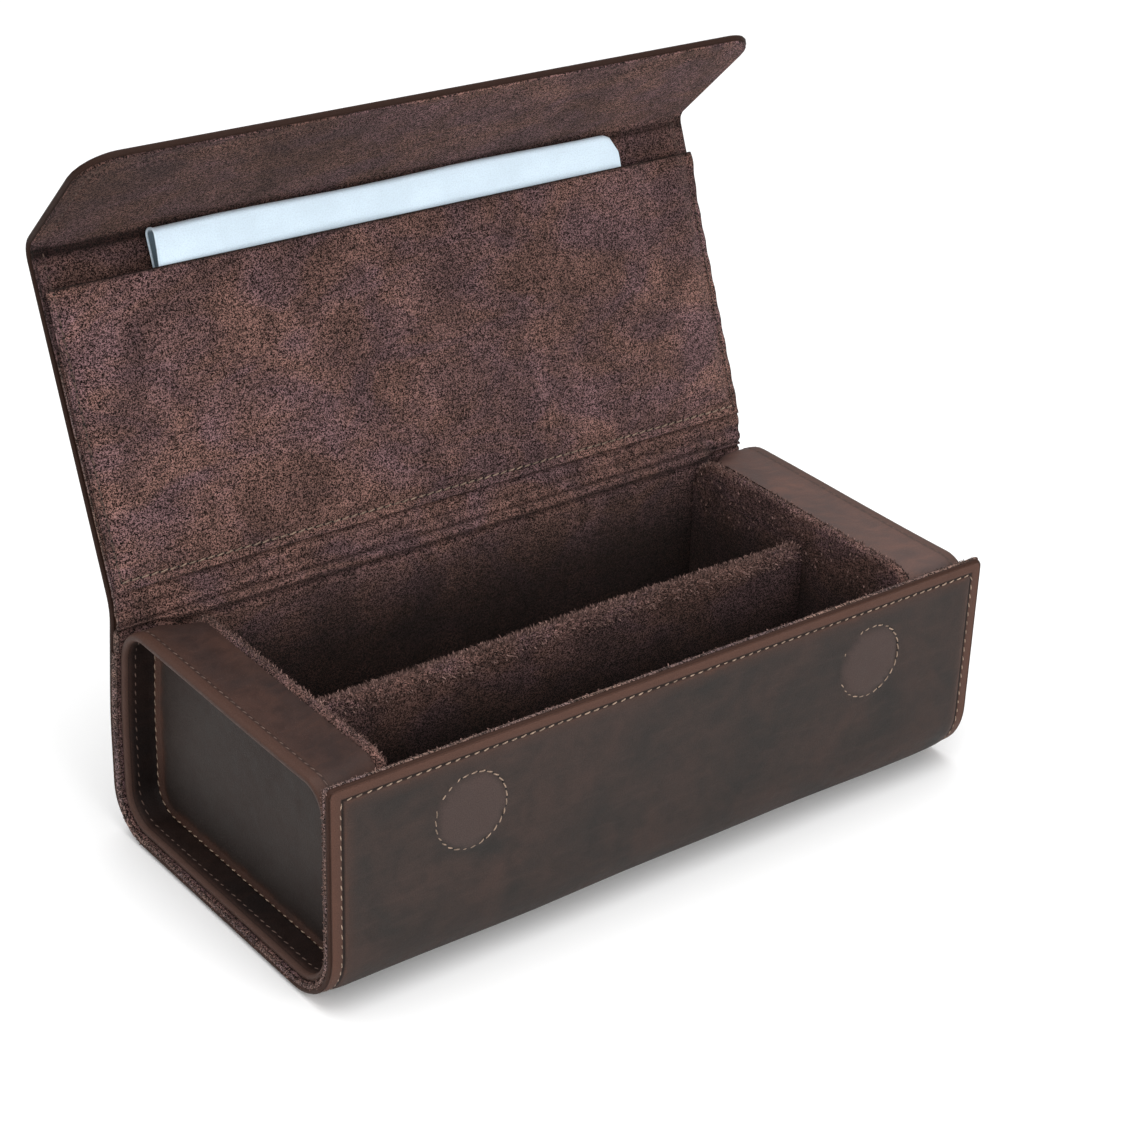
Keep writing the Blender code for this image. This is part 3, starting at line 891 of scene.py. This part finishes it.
def rounded_width(end, half, radius):
    """A sheet's half width along its path, narrowing round the corners of its open end."""
    def width(along):
        left = abs(end - along)
        if left >= radius:
            return half
        return half - radius + math.sqrt(max(0.0, radius**2 - (radius - left)**2))
    return width


def rounding_rows(last, radius):
    """Extra rows where a sheet's end is rounded."""
    angles = np.radians((15, 30, 45, 57, 67, 76, 84, 88.5, 90))
    return last - radius + radius * np.sin(angles)


def wavy(across, along, size=WAVE):
    """The hand-made unevenness of a panel."""
    return size * (np.sin(across * 47 + 0.6) * np.sin(along * 61 + 1.1)
                   + 0.5 * np.sin(across * 113 + along * 71 + 2.0))


def pillow(across, along, edge):
    """The leather's surface: lower towards its edge, with a groove along the stitches."""
    border = -0.45 * MM * (1 - smooth(edge, 0, 6 * MM))
    groove = -0.22 * MM * ridge(edge - STITCH_INSET, 0.45 * MM)
    return border + groove + wavy(across, along) * smooth(edge, 0, 12 * MM)


def suede_wave(across, along, edge):
    return wavy(across, along) * smooth(edge, 6 * MM, 12 * MM)


def margin(edge, reach):
    """1 along a lining's edge, where it is pinched against the leather, and 0 past its reach."""
    return 1 - smooth(edge, 1.6 * MM, reach)


def beside_recess(depth):
    """1 beside the open recess of an end block, 0 where the block's core begins."""
    return 1 - smooth(depth, PANEL_DEPTH + 0.5 * MM, PANEL_DEPTH + 5 * MM)


def magnet_rise(across, up):
    """The leather's slight swell over each magnet, ringed by a shallow groove."""
    away = np.hypot(np.abs(across) - DISC_X, up)
    swell = SWELL * (1 - smooth(away, DISC - 2 * MM, DISC + 1.5 * MM))
    return swell - SWELL * ridge(away - DISC, 0.6 * MM)


def disc(across, up):
    """1 on the leather over a magnet, 0 away from it."""
    return 1 - smooth(np.hypot(np.abs(across) - DISC_X, up), DISC - 1.2 * MM, DISC)


def deep_shade(z):
    """Painted shade inside the compartments, darker towards the base."""
    return 0.92 * (1 - smooth(z, 34 * MM, 63 * MM))


# ---- the wrap's leather

def build_wrap_body():
    """The leather round the body's front, base and lower back."""
    path = WRAP_BODY
    discs = path.first + HEIGHT - FRONT_DISC_Z

    def face(across, along, edge):
        return pillow(across, along, edge) + magnet_rise(across, discs - along)

    rows = spaced(path.first + LEATHER_EDGE, path.last, LEATHER_STEP, fine_low=True)
    made = sheet("case_leather", path, rows, LEATHER_STEP, SHEET_HALF, face, -LEATHER,
                 [MATERIAL["leather"]], first_edge=True, radius=TOP_CORNER,
                 width_at=rounded_width(path.first, SHEET_HALF, TOP_CORNER),
                 tint=lambda across, along: disc(across, discs - along))
    fit(made, with_case, "leather", "body_leather")
    way = round_the_end(SEAM_X, path.last, path.first + STITCH_INSET + 0.2 * MM, TOP_CORNER)
    seam("case_stitches", path, way, SEAM_SINK, with_case)
    sew_discs("magnet_stitches", path, discs, with_case)


def build_wrap_lid():
    """The leather up the back, over the hinge and along the lid."""
    path = WRAP_LID
    rows = spaced(path.first, path.last, LEATHER_STEP)
    made = sheet("lid_leather_skin", path, rows, LEATHER_STEP, SHEET_HALF, pillow, -LEATHER,
                 [MATERIAL["lid_leather"]])
    fit(made, over_hinge, "leather", "lid_leather", "hinge_leather")
    for side, sign in SIDES:
        way = [(sign * SEAM_X, path.first), (sign * SEAM_X, path.last)]
        seam(f"lid_edge_stitches_{side}", path, way, SEAM_SINK, over_hinge)


def build_wrap_flap():
    """The leather from the lid's front over the crease and down the flap."""
    path = WRAP_FLAP
    flap_start = path.last - FLAP_LENGTH
    discs = path.last - FLAP_DISC

    def face(across, along, edge):
        on_the_flap = smooth(along, flap_start - 4 * MM, flap_start + 4 * MM)
        return pillow(across, along, edge) + magnet_rise(across, discs - along) * on_the_flap

    rows = np.concatenate((spaced(path.first, path.last - FLAP_CORNER, LEATHER_STEP),
                           rounding_rows(path.last, FLAP_CORNER)))
    made = sheet("flap_leather_skin", path, rows, LEATHER_STEP, SHEET_HALF, face, -LEATHER,
                 [MATERIAL["lid_leather"]], last_edge=True, radius=FLAP_CORNER,
                 width_at=rounded_width(path.last, SHEET_HALF, FLAP_CORNER),
                 tint=lambda across, along: disc(across, discs - along))
    fit(made, over_crease, "leather", "flap_leather", "fold_leather")
    way = round_the_end(SEAM_X, path.first, path.last - STITCH_INSET, FLAP_CORNER - STITCH_INSET)
    seam("flap_stitches", path, way, SEAM_SINK, over_crease)
    sew_discs("flap_magnet_stitches", path, discs, over_crease)


# ---- the wrap's suede

def build_lining_body():
    """The suede down the front wall, over the base and up the back wall."""
    path = LINING_BODY
    half = HALF_LENGTH - LINING_EDGE

    def face(across, along, edge):
        back = path.facing_back(along)
        closeness = (WALL - 2.8 * MM) * (1 - back) + (BACK_WALL - 3.5 * MM + path.bulge(along)) * back
        clear = 1 - beside_recess(half - np.abs(across))
        pinch = closeness * (1 - clear * smooth(along - path.first, 1.6 * MM, 5.0 * MM))
        return pinch + suede_wave(across, along, edge)

    def behind(across, along, edge):
        back = path.facing_back(along)
        filled = WALL * (1 - back) + (BACK_WALL + path.bulge(along)) * back - LEATHER - GAP
        share = margin(edge, 4.5 * MM)
        return filled * share + (face(across, along, edge) + THICK_SUEDE) * (1 - share)

    # Painted shade down the compartments, none beside the end blocks.
    def shade(across, along):
        return deep_shade(path.height(along)) * (1 - smooth(np.abs(across), PANEL_X - 6 * MM, PANEL_X))

    rows = spaced(path.first + LINING_EDGE, path.last, SUEDE_STEP, fine_low=True)
    made = sheet("case_suede", path, rows, SUEDE_STEP, half, face, behind, SUEDE_AND_CUT,
                 first_edge=True, radius=TOP_CORNER, tint=shade)
    fit(made, with_case, "suede", "body_lining")


def build_lining_lid():
    """The suede over the hinge and along the inside of the lid, creased where it bends."""
    path = LINING_LID
    half = HALF_LENGTH - 0.9 * MM
    creases = [path.nearest(on_lid(HINGE.y - away, LID_LINING_Z))
               for away in (6.6 * MM, 3.4 * MM, 0.2 * MM)]
    creases.append(creases[-1] - 3.4 * MM)
    depths = (0.35, 0.8, 1.1, 1.1)

    def folds(along):
        return sum(depth * ridge(along - crease, 0.6 * MM) for crease, depth in zip(creases, depths))

    def face(across, along, edge):
        on_the_lid = smooth(along, path.first + 6 * MM, path.first + 16 * MM)
        low_margin = BACK_WALL - 3.5 * MM + path.bulge(along)
        pinch = (0.5 * MM * on_the_lid * margin(edge, 5 * MM)
                 + low_margin * (1 - on_the_lid) * beside_recess(edge))
        return pinch + 1.0 * MM * folds(along) + suede_wave(across, along, edge)

    def behind(across, along, edge):
        on_the_case = 1 - smooth(along, path.first + 4 * MM, path.first + 18 * MM)
        filled = (BACK_WALL + path.bulge(along) - LEATHER - GAP) * on_the_case
        thin = face(across, along, edge) + THIN_SUEDE
        share = margin(edge, 4.5 * MM) * on_the_case
        return np.maximum(thin, filled * share + thin * (1 - share))

    # Painted shade in the hinge folds, on the strip above the pocket and down the compartments.
    def shade(across, along):
        above_pocket = smooth(along, path.last - 8 * MM, path.last)
        middle = 1 - smooth(np.abs(across), PANEL_X - 8 * MM, PANEL_X + 2 * MM)
        deep = deep_shade(path.height(along)) * middle
        return np.clip(0.6 * folds(along) + 0.35 * above_pocket + deep, 0, 1)

    rows = spaced(path.first, path.last, 0.8 * MM)
    made = sheet("lid_suede", path, rows, SUEDE_STEP, half, face, behind, SUEDE_AND_CUT, tint=shade)
    fit(made, over_hinge, "suede", "lid_lining", "hinge_lining")


def build_lining_flap():
    """The suede from the lid's front over the crease and down the flap."""
    path = LINING_FLAP
    half = HALF_LENGTH - LINING_EDGE - 0.4 * MM
    radius = FLAP_CORNER - 0.6 * MM
    inset = 2.6 * MM

    def face(across, along, edge):
        clear = FLAP_CLEARANCE * smooth(along, path.first, path.first + 12 * MM)
        groove = 0.2 * MM * ridge(edge - STITCH_INSET, 0.5 * MM)
        return clear + 0.5 * MM * margin(edge, 5 * MM) + groove + suede_wave(across, along, edge)

    # Painted shade along the crease and under the flap; the flap is also darker towards its left.
    def shade(across, along):
        past_crease = along - path.last + FLAP_LENGTH
        under_flap = 1 - smooth(past_crease, -4 * MM, 1 * MM)
        left = 1 - smooth(across, -half, 0.5 * half)
        return np.clip(0.85 * ridge(past_crease, 1.2 * MM) + 0.45 * under_flap
                       + 0.42 * left * (1 - under_flap), 0, 1)

    rows = np.concatenate((spaced(path.first, path.last - radius, 1.2 * MM),
                           rounding_rows(path.last, radius)))
    made = sheet("flap_suede", path, rows, SUEDE_STEP, half, face, THIN_SUEDE, [MATERIAL["suede"]],
                 last_edge=True, radius=radius, width_at=rounded_width(path.last, half, radius),
                 tint=shade)
    fit(made, over_crease, "suede", "flap_lining", "fold_lining")
    way = round_the_end(half - inset, path.first, path.last - inset, radius - inset)
    seam("flap_inner_stitches", path, way, FLAP_CLEARANCE + 0.55 * MM, over_crease, "dark_thread",
         inside=True)


# ---- the lid's pocket and cloth

def build_pocket():
    """The pocket panel, sewn to the lid's suede along its sides and bottom."""
    path = Path(line(on_lid(POCKET_BACK_Y, POCKET_HEM_Z), on_lid(POCKET_OPEN_Y, POCKET_HEM_Z),
                     LEATHER_STEP))
    half = HALF_LENGTH - 1.5 * MM

    def gape(across, along):
        """How far the cloth pushes the open edge out, most at the left."""
        over_cloth = smooth(across, -77 * MM, -67 * MM) * (1 - smooth(across, 70.5 * MM, 78 * MM))
        size = 2.2 * MM - 0.6 * MM * smooth(across, -60 * MM, 60 * MM)
        return size * over_cloth * smooth(along, path.last - 24 * MM, path.last)

    def face(across, along, edge):
        sewn = 1.25 * MM * (1 - smooth(edge, 2.0 * MM, 6 * MM))
        hem = 0.25 * MM * ridge(path.last - along - 4 * MM, 3 * MM)
        groove = 0.3 * MM * ridge(edge - 2.0 * MM, 0.55 * MM)
        near_mouth = smooth(along, path.last - 14 * MM, path.last)
        lifted = 1.0 * MM * smooth(across, half - 12 * MM, half) * near_mouth
        ragged = 0.2 * MM * np.sin(along * 900) * smooth(across, half - 2 * MM, half)
        return (sewn + groove - hem - lifted - gape(across, along) + ragged
                + wavy(across, along, 0.22 * MM) * smooth(edge, 6 * MM, 14 * MM))

    rows = spaced(path.first, path.last, 1.8 * MM, True, True)
    # The tint is a painted shadow along the pocket's open edge.
    made = sheet("lid_pocket_panel", path, rows, SUEDE_STEP, half, face, 0.6 * MM,
                 [MATERIAL["suede"]], first_edge=True, last_edge=True,
                 tint=lambda across, along: 0.8 * ridge(path.last - along, 0.45 * MM))
    fit(made, with_lid, "suede", "lid_pocket")
    side = half - 1.4 * MM
    low = path.first + 2.1 * MM
    mouth = path.last - 1 * MM
    for name, way, thread in (("left", [(-side, mouth), (-side, low)], "dark_thread"),
                              ("bottom", [(-side, low), (side, low)], "thread"),
                              ("right", [(side, low), (side, mouth)], "dark_thread")):
        seam(f"pocket_stitches_{name}", path, way, 1.15 * MM, with_lid, thread, inside=True)


def cloth_section(puff, top, bottom):
    """The folded cloth's section: up behind, over a soft fold, and down in front."""
    behind = 0.25 * MM
    thin = 0.7 * MM
    start = top + CLOTH_FOLD
    ys = np.linspace(bottom, start, 30)
    front = thin + (puff - thin) * (1 - smooth(ys - top, 1 * MM, 22 * MM))
    middle, reach = (front[-1] + behind) / 2, (front[-1] - behind) / 2
    turn = np.radians(np.linspace(15, 165, 11))
    return np.vstack((np.column_stack((ys, np.full(len(ys), behind))),
                      np.column_stack((start - CLOTH_FOLD * np.sin(turn), middle - reach * np.cos(turn))),
                      np.column_stack((ys, front))[::-1]))


def build_hem(spots):
    """The cloth's cut edge at its open end, a fine roll along the fold."""
    side = Vector((1, 0, 0))
    rings, flats = [], []
    for i, (spot, way) in enumerate(zip(spots, np.gradient(np.array(spots), axis=0))):
        up = side.cross(Vector(way)).normalized()
        rings.append([Vector(spot) + HEM_RADIUS * (side * math.cos(angle) + up * math.sin(angle))
                      for angle in ROUND_ANGLES])
        flats.append([(HEM_RADIUS * angle, (i + 1) * MM) for angle in ROUND_ANGLES])
    return loft("cleaning_cloth_hem", rings, flats, MATERIAL["cloth"], closed=True, flip=True,
                caps=True)


def build_cloth():
    """The folded cleaning cloth standing out of the pocket: a double layer, open at the left."""
    width = CLOTH_RIGHT - CLOTH_LEFT
    columns, flats, lengths, shades = [], [], [], []
    for x in np.linspace(CLOTH_LEFT, CLOTH_RIGHT, 84):
        share = (x - CLOTH_LEFT) / width
        puff = (4.0 - 1.1 * share + 0.25 * math.sin(x * 70) + 0.15 * math.sin(x * 190 + 1)) * MM
        near_end = max(0.0, CLOTH_CORNER - (CLOTH_RIGHT - x))
        drop = (CLOTH_CORNER - math.sqrt(CLOTH_CORNER**2 - near_end**2)
                + 0.4 * MM * math.sin(x * 45 + 2) ** 2)
        section = cloth_section(puff, CREASE.y + drop, CREASE.y + CLOTH_DEPTH)
        steps = run_lengths(section)
        lengths.append(steps[-1])
        waves = 0.12 * MM * math.sin(x * 60) * np.sin(section[:, 0] * 90)
        columns.append([(x, *on_lid(y, LID_LINING_Z - off - wave))
                        for (y, off), wave in zip(section, waves)])
        flats.append([(x, step) for step in steps])
        # Painted shade on the back layer, inside the folded cloth.
        shades += list(1 - smooth(section[:, 1], 0.3 * MM, 0.9 * MM))
    made = loft("cleaning_cloth_sheet", columns, flats, MATERIAL["cloth"], flip=True,
                values={"shade": shades})
    hem = build_hem(columns[0])
    for piece in (made, hem):
        fit(piece, with_lid, "microfibre")
        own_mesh(piece)
    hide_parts("cleaning_cloth")


# ---- end blocks and divider

def ring_points(front, back, low, top, radii):
    """Points round a rounded upright rectangle; radii are (front top, back top, back low, front low)."""
    corners = ((front, top, 1, -1, radii[0], 180, 90), (back, top, -1, -1, radii[1], 90, 0),
               (back, low, -1, 1, radii[2], 0, -90), (front, low, 1, 1, radii[3], -90, -180))
    arcs = [arc((y + sign_y * radius, z + sign_z * radius), radius, first, last, 9)
            for y, z, sign_y, sign_z, radius, first, last in corners]
    points = []
    for here, there, count in zip(arcs, arcs[1:] + arcs[:1], (26, 14, 26, 14)):
        points += here
        points += [here[-1] + (there[0] - here[-1]) * k / count for k in range(1, count)]
    return np.array(points)


def top_rise(y, z):
    """How much higher the end blocks stand towards the back."""
    return 1.5 * MM * smooth(y, -36 * MM, 44 * MM) * smooth(z, 20 * MM, BAND_TOP)


def band_ring(depth, inset):
    """The end band's outline at a depth behind the wrap's edge; inset goes into the leather."""
    near = float(beside_recess(depth))
    front = -HALF_DEPTH + WALL + 0.2 * MM - 2.3 * MM * near + inset
    back = HALF_DEPTH - BACK_WALL - 0.2 * MM + 3.3 * MM * near - inset
    low = WALL + 0.2 * MM - 2.3 * MM * near + inset
    radii = [max(0.5 * MM, radius - inset) for radius in (8 * MM, 10 * MM, 9 * MM, 12 * MM)]
    ring = ring_points(front, back, low, BAND_TOP - inset, radii)
    ring[:, 0] += back_bulge(ring[:, 0], ring[:, 1]) * near
    ring[:, 1] += top_rise(ring[:, 0], ring[:, 1])
    return ring


def standing(x, ring):
    """A (y, z) outline at one x."""
    return np.column_stack((np.full(len(ring), x), ring))


def around(ring):
    """An outline that comes back to its first point."""
    return np.vstack((ring, ring[:1]))


def build_band(side, sign):
    """The end block's leather tube: its outside, rounded rim and inside as far as the panel."""
    outside = [(depth, 0.0) for depth in (17, 13, 9, 7, 5, 3.4, 2.2)]
    rim = [(1.4, 0.15), (1.05, 0.5), (0.95, 1.0), (1.05, 1.5), (1.4, 1.85)]
    inside = [(depth, BAND / MM) for depth in (2.2, 3.4, 4.0, 5.0, 7, 9, 11.5)]
    rings, flats, edges, shades = [], [], [], []
    for depth, inset in np.array(outside + rim + inside) * MM:
        ring = band_ring(depth, inset)
        is_inside = inset > 1.2 * MM
        rings.append(standing(sign * (HALF_LENGTH - depth), ring))
        flats.append(np.column_stack((np.full(len(ring), sign * depth + inset), run_lengths(ring))))
        edges += [max(0.0, depth - 1.0 * MM) / MM * (2.5 if is_inside else 1.0)] * len(ring)
        # Painted shade on the band's inner wall, in the recess.
        shades += [0.85 * float(smooth(depth, 1.5 * MM, 4 * MM)) * is_inside] * len(ring)
    made = loft(f"{side}_band_skin", rings, flats, MATERIAL[f"{side}_band"], closed=True,
                flip=sign > 0, values={"edge": edges, "shade": shades})
    fit(made, with_case, "edge_leather", f"{side}_end_band")

    depth = 1.0 * MM + STITCH_INSET
    for name, inset, facing in (("outer", 0.0, 1), ("inner", BAND, -1)):
        ring = around(band_ring(depth, inset))
        ways = np.gradient(ring, axis=0)
        ways /= np.linalg.norm(ways, axis=1)[:, None]
        normals = np.stack((-ways[:, 1], ways[:, 0]), 1) * facing
        points = standing(sign * (HALF_LENGTH - depth), ring - normals * GAP)
        stitches(f"{side}_band_stitches_{name}", points, standing(0.0, normals),
                 MATERIAL["dark_thread"], with_case)


def build_panel(side, sign):
    """The leather panel set back in the end block, with a raised sewn border."""
    border = ((0.0, -0.6), (0.1, 0.5), (0.3, 0.85), (0.6, 1.0), (0.9, 0.95), (1.2, 0.7), (1.4, 0.35),
              (1.6, 0.15), (2.0, 0.1), (3.5, 0.2), (5.0, 0.3))
    rings, edges = [], []
    for inset, rise in border:
        ring = band_ring(PANEL_DEPTH, BAND - 0.1 * MM + inset * MM)
        x = sign * (PANEL_X + rise * MM)
        rings.append(standing(x, ring))
        edges += [inset] * len(ring)
    centre = ring.mean(axis=0)
    for share in (0.85, 0.7, 0.55, 0.4, 0.25, 0.1):
        rings.append(standing(x, centre + (ring - centre) * share))
        edges += [inset + (1 - share) * 20] * len(ring)
    rings = np.array(rings)
    # The shade is painted shade, darker towards the panel's bottom.
    heights = np.append(rings[..., 2], centre[1])
    made = loft(f"{side}_panel_skin", rings, rings[..., 1:], MATERIAL["panel"], closed=True,
                flip=sign > 0, middle=(x, *centre),
                values={"edge": edges + edges[-1:], "shade": 0.55 * (1 - smooth(heights, 8 * MM, 30 * MM))})
    fit(made, with_case, "leather", f"{side}_end_panel")
    ring = around(band_ring(PANEL_DEPTH, BAND + 0.6 * MM))
    stitches(f"{side}_panel_stitches", standing(sign * (PANEL_X + 0.95 * MM), ring),
             standing(float(sign), 0 * ring), MATERIAL["thread"], with_case)


def build_end_suede(side, sign):
    """The suede-covered inner face of the end block, fuzzy along its top."""
    low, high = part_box(f"{side}_end_lining")
    outer, inner = (high.x, low.x) if sign > 0 else (low.x, high.x)
    top = high.z
    edge, corner = 1.1 * MM, 8 * MM
    rounding = [(sign * edge * (1 - math.cos(a)), top - edge + edge * math.sin(a))
                for a in np.radians((0, 30, 60, 90))]
    section = [(outer, WALL), *((outer - into, z) for into, z in rounding),
               *((inner + into, z) for into, z in rounding[::-1]),
               *((inner, z) for z in np.linspace(top - edge - 2 * MM, WALL, 24))]
    ys = np.linspace(low.y, high.y, 44)
    near_end = np.maximum(0.0, corner - np.minimum(ys - low.y, high.y - ys))
    drop = corner - np.sqrt(np.maximum(0.0, corner**2 - near_end**2))
    rings = np.array([standing(x, np.column_stack(
        (ys, z - drop * smooth(z, 48 * MM, top) + top_rise(ys, z) * 0.7))) for x, z in section])
    flats = [[(y, length) for y in ys] for length in run_lengths(section)]
    # The tint is painted shade, darker down the compartment.
    made = loft(f"{side}_end_suede", rings, flats, MATERIAL["suede"], flip=sign > 0,
                values={"tint": deep_shade(rings[..., 2].ravel())})
    fit(made, with_case, "suede", f"{side}_end_lining")
    spots = [spot for spot in rings.reshape(-1, 3)
             if spot[2] > 44 * MM and abs(spot[0] - (outer + inner) / 2) < END_THICK]
    nap = fuzz(f"{side}_end_fuzz", spots, [(0.0, 0.0, 1.0)] * len(spots), count=3200,
               length=0.8 * MM)
    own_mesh(nap)


def swayed(xs, y, z, share=1.0):
    """A line along the divider at (y, z), a little uneven as by hand."""
    return np.column_stack((xs, y + 0.35 * MM * share * np.sin(xs * 43 + 1.0),
                            z + 0.15 * MM * np.sin(xs * 70)))


def build_divider():
    """The divider's suede, rounded over its top and fuzzy there."""
    low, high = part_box("divider_cover")
    middle = (low.y + high.y) / 2
    radius = (high.y - low.y) / 2
    shoulder = high.z - radius
    path = Path(line((middle + radius, low.z), (middle + radius, shoulder))
                + arc((middle, shoulder), radius, 0, 180, 12)[1:]
                + line((middle - radius, shoulder), (middle - radius, low.z))[1:])
    xs = np.linspace(-high.x, high.x, 96)
    rings = np.array([swayed(xs, y, z, smooth(z, 10 * MM, 49 * MM)) for y, z in path.points])
    flats = [[(x, length) for x in xs] for length in path.lengths]
    # The tint is painted shade, darker down the compartments.
    made = loft("divider_suede", rings, flats, MATERIAL["suede"], flip=True,
                values={"tint": deep_shade(rings[..., 2].ravel() + HEIGHT - high.z)})
    fit(made, with_case, "suede", "divider_cover")
    spots, normals = [], []
    for (y, z), normal in zip(path.points, path.outward):
        if z > shoulder - 1.5 * MM:
            line_spots = swayed(np.linspace(-high.x, high.x, 400), y, z)
            spots += list(line_spots)
            normals += [(0.0, *normal)] * len(line_spots)
    fuzz("divider_fuzz", spots, normals, count=11000, length=1.0 * MM)


def build_edge_fuzz():
    """The nap along the front wall's top and along the wrap's sides."""
    spots = [(x, -HALF_DEPTH + share * MM, HEIGHT - 0.6 * MM)
             for x in np.linspace(-SHEET_HALF, SHEET_HALF, 500) for share in (1.7, 2.2, 2.7)]
    fuzz("front_top_fuzz", spots, [(0.0, 0.4, 0.9)] * len(spots), count=5000, length=0.65 * MM)
    along = np.linspace(LINING_BODY.first + 1 * MM, LINING_BODY.last, 500)
    back = LINING_BODY.facing_back(along)
    bulge = LINING_BODY.bulge(along) * back
    places, sides = LINING_BODY.at(along)
    lifts = [(2.4 + 1.1 * back + share * (1.2 + 0.7 * back)) * MM + bulge for share in (0.1, 0.5, 0.9)]
    lines = np.stack([places + sides * lift[:, None] for lift in lifts], 1).reshape(-1, 2)
    for side, sign in SIDES:
        spots = standing(sign * (HALF_LENGTH - LINING_EDGE), lines)
        fuzz(f"{side}_edge_fuzz", spots, [(float(sign), 0.0, 0.0)] * len(spots), count=6500,
             length=0.55 * MM)


def dress_hidden_nodes():
    """Boards, cores and magnets keep their CAD shapes, in board and steel."""
    for name, node in frame["nodes"].items():
        if node.hide_render:
            continue
        for material_slot in node.material_slots:
            material_slot.material = MATERIAL["steel" if "magnet" in name else "board"]


# ---- stage, light and camera

CAMERA_PLACE = (-0.33778, -0.43276, 0.34359)
CAMERA_TURN_DEG = (62.808, -1.748, -37.41)
CAMERA_LENS_MM = 81.645
# Each light's place, the point it faces, its side in metres and its power in watts
LIGHTS = {
    "soft_top": ((-0.1, 0.05, 1.5), (0, 0, 0.0), 1.6, 20.0),
    "soft_left": ((-1.1, -0.7, 0.9), (0, 0, 0.06), 0.7, 4.0),
    "soft_front": ((0.1, -1.3, 0.6), (0, 0, 0.05), 0.9, 10.0),
}
WORLD_STRENGTH = 0.55
FLOOR_HALF = 3.0
FLOOR_DROP = 0.3 * MM


def add_object(name, data):
    made = bpy.data.objects.new(name, data)
    bpy.context.scene.collection.objects.link(made)
    return made


def build_stage():
    corners = [(x * FLOOR_HALF, y * FLOOR_HALF, 0) for x, y in ((-1, -1), (1, -1), (1, 1), (-1, 1))]
    white = Nodes("studio_white").surface(Base_Color=(0.96, 0.96, 0.96, 1.0), Roughness=0.9)
    floor = add_mesh("studio_floor", corners, [(0, 1, 2, 3)], [white])
    floor.location.z = -FLOOR_DROP
    world = bpy.context.scene.world or bpy.data.worlds.new("studio")
    bpy.context.scene.world = world
    world.use_nodes = True
    background = world.node_tree.nodes["Background"]
    background.inputs["Color"].default_value = (1.0, 1.0, 1.0, 1.0)
    background.inputs["Strength"].default_value = WORLD_STRENGTH
    bpy.context.scene.view_settings.view_transform = "Standard"


def build_lights():
    for name, (place, target, size, power) in LIGHTS.items():
        data = bpy.data.lights.new(name, "AREA")
        data.shape = "SQUARE"
        data.size = size
        data.energy = power
        made = add_object(name, data)
        made.location = place
        made.rotation_euler = (Vector(target) - Vector(place)).to_track_quat("-Z", "Y").to_euler()


def build_camera():
    data = bpy.data.cameras.new("camera")
    data.lens = CAMERA_LENS_MM
    data.sensor_width = 36.0
    data.clip_start = 0.01
    made = add_object("camera", data)
    made.location = CAMERA_PLACE
    made.rotation_euler = [math.radians(angle) for angle in CAMERA_TURN_DEG]
    bpy.context.scene.camera = made


build_wrap_body()
build_wrap_lid()
build_wrap_flap()
build_lining_body()
build_lining_lid()
build_lining_flap()
build_pocket()
build_cloth()
for SIDE, SIGN in SIDES:
    build_band(SIDE, SIGN)
    build_panel(SIDE, SIGN)
    build_end_suede(SIDE, SIGN)
build_divider()
build_edge_fuzz()
dress_hidden_nodes()
build_stage()
build_lights()
build_camera()
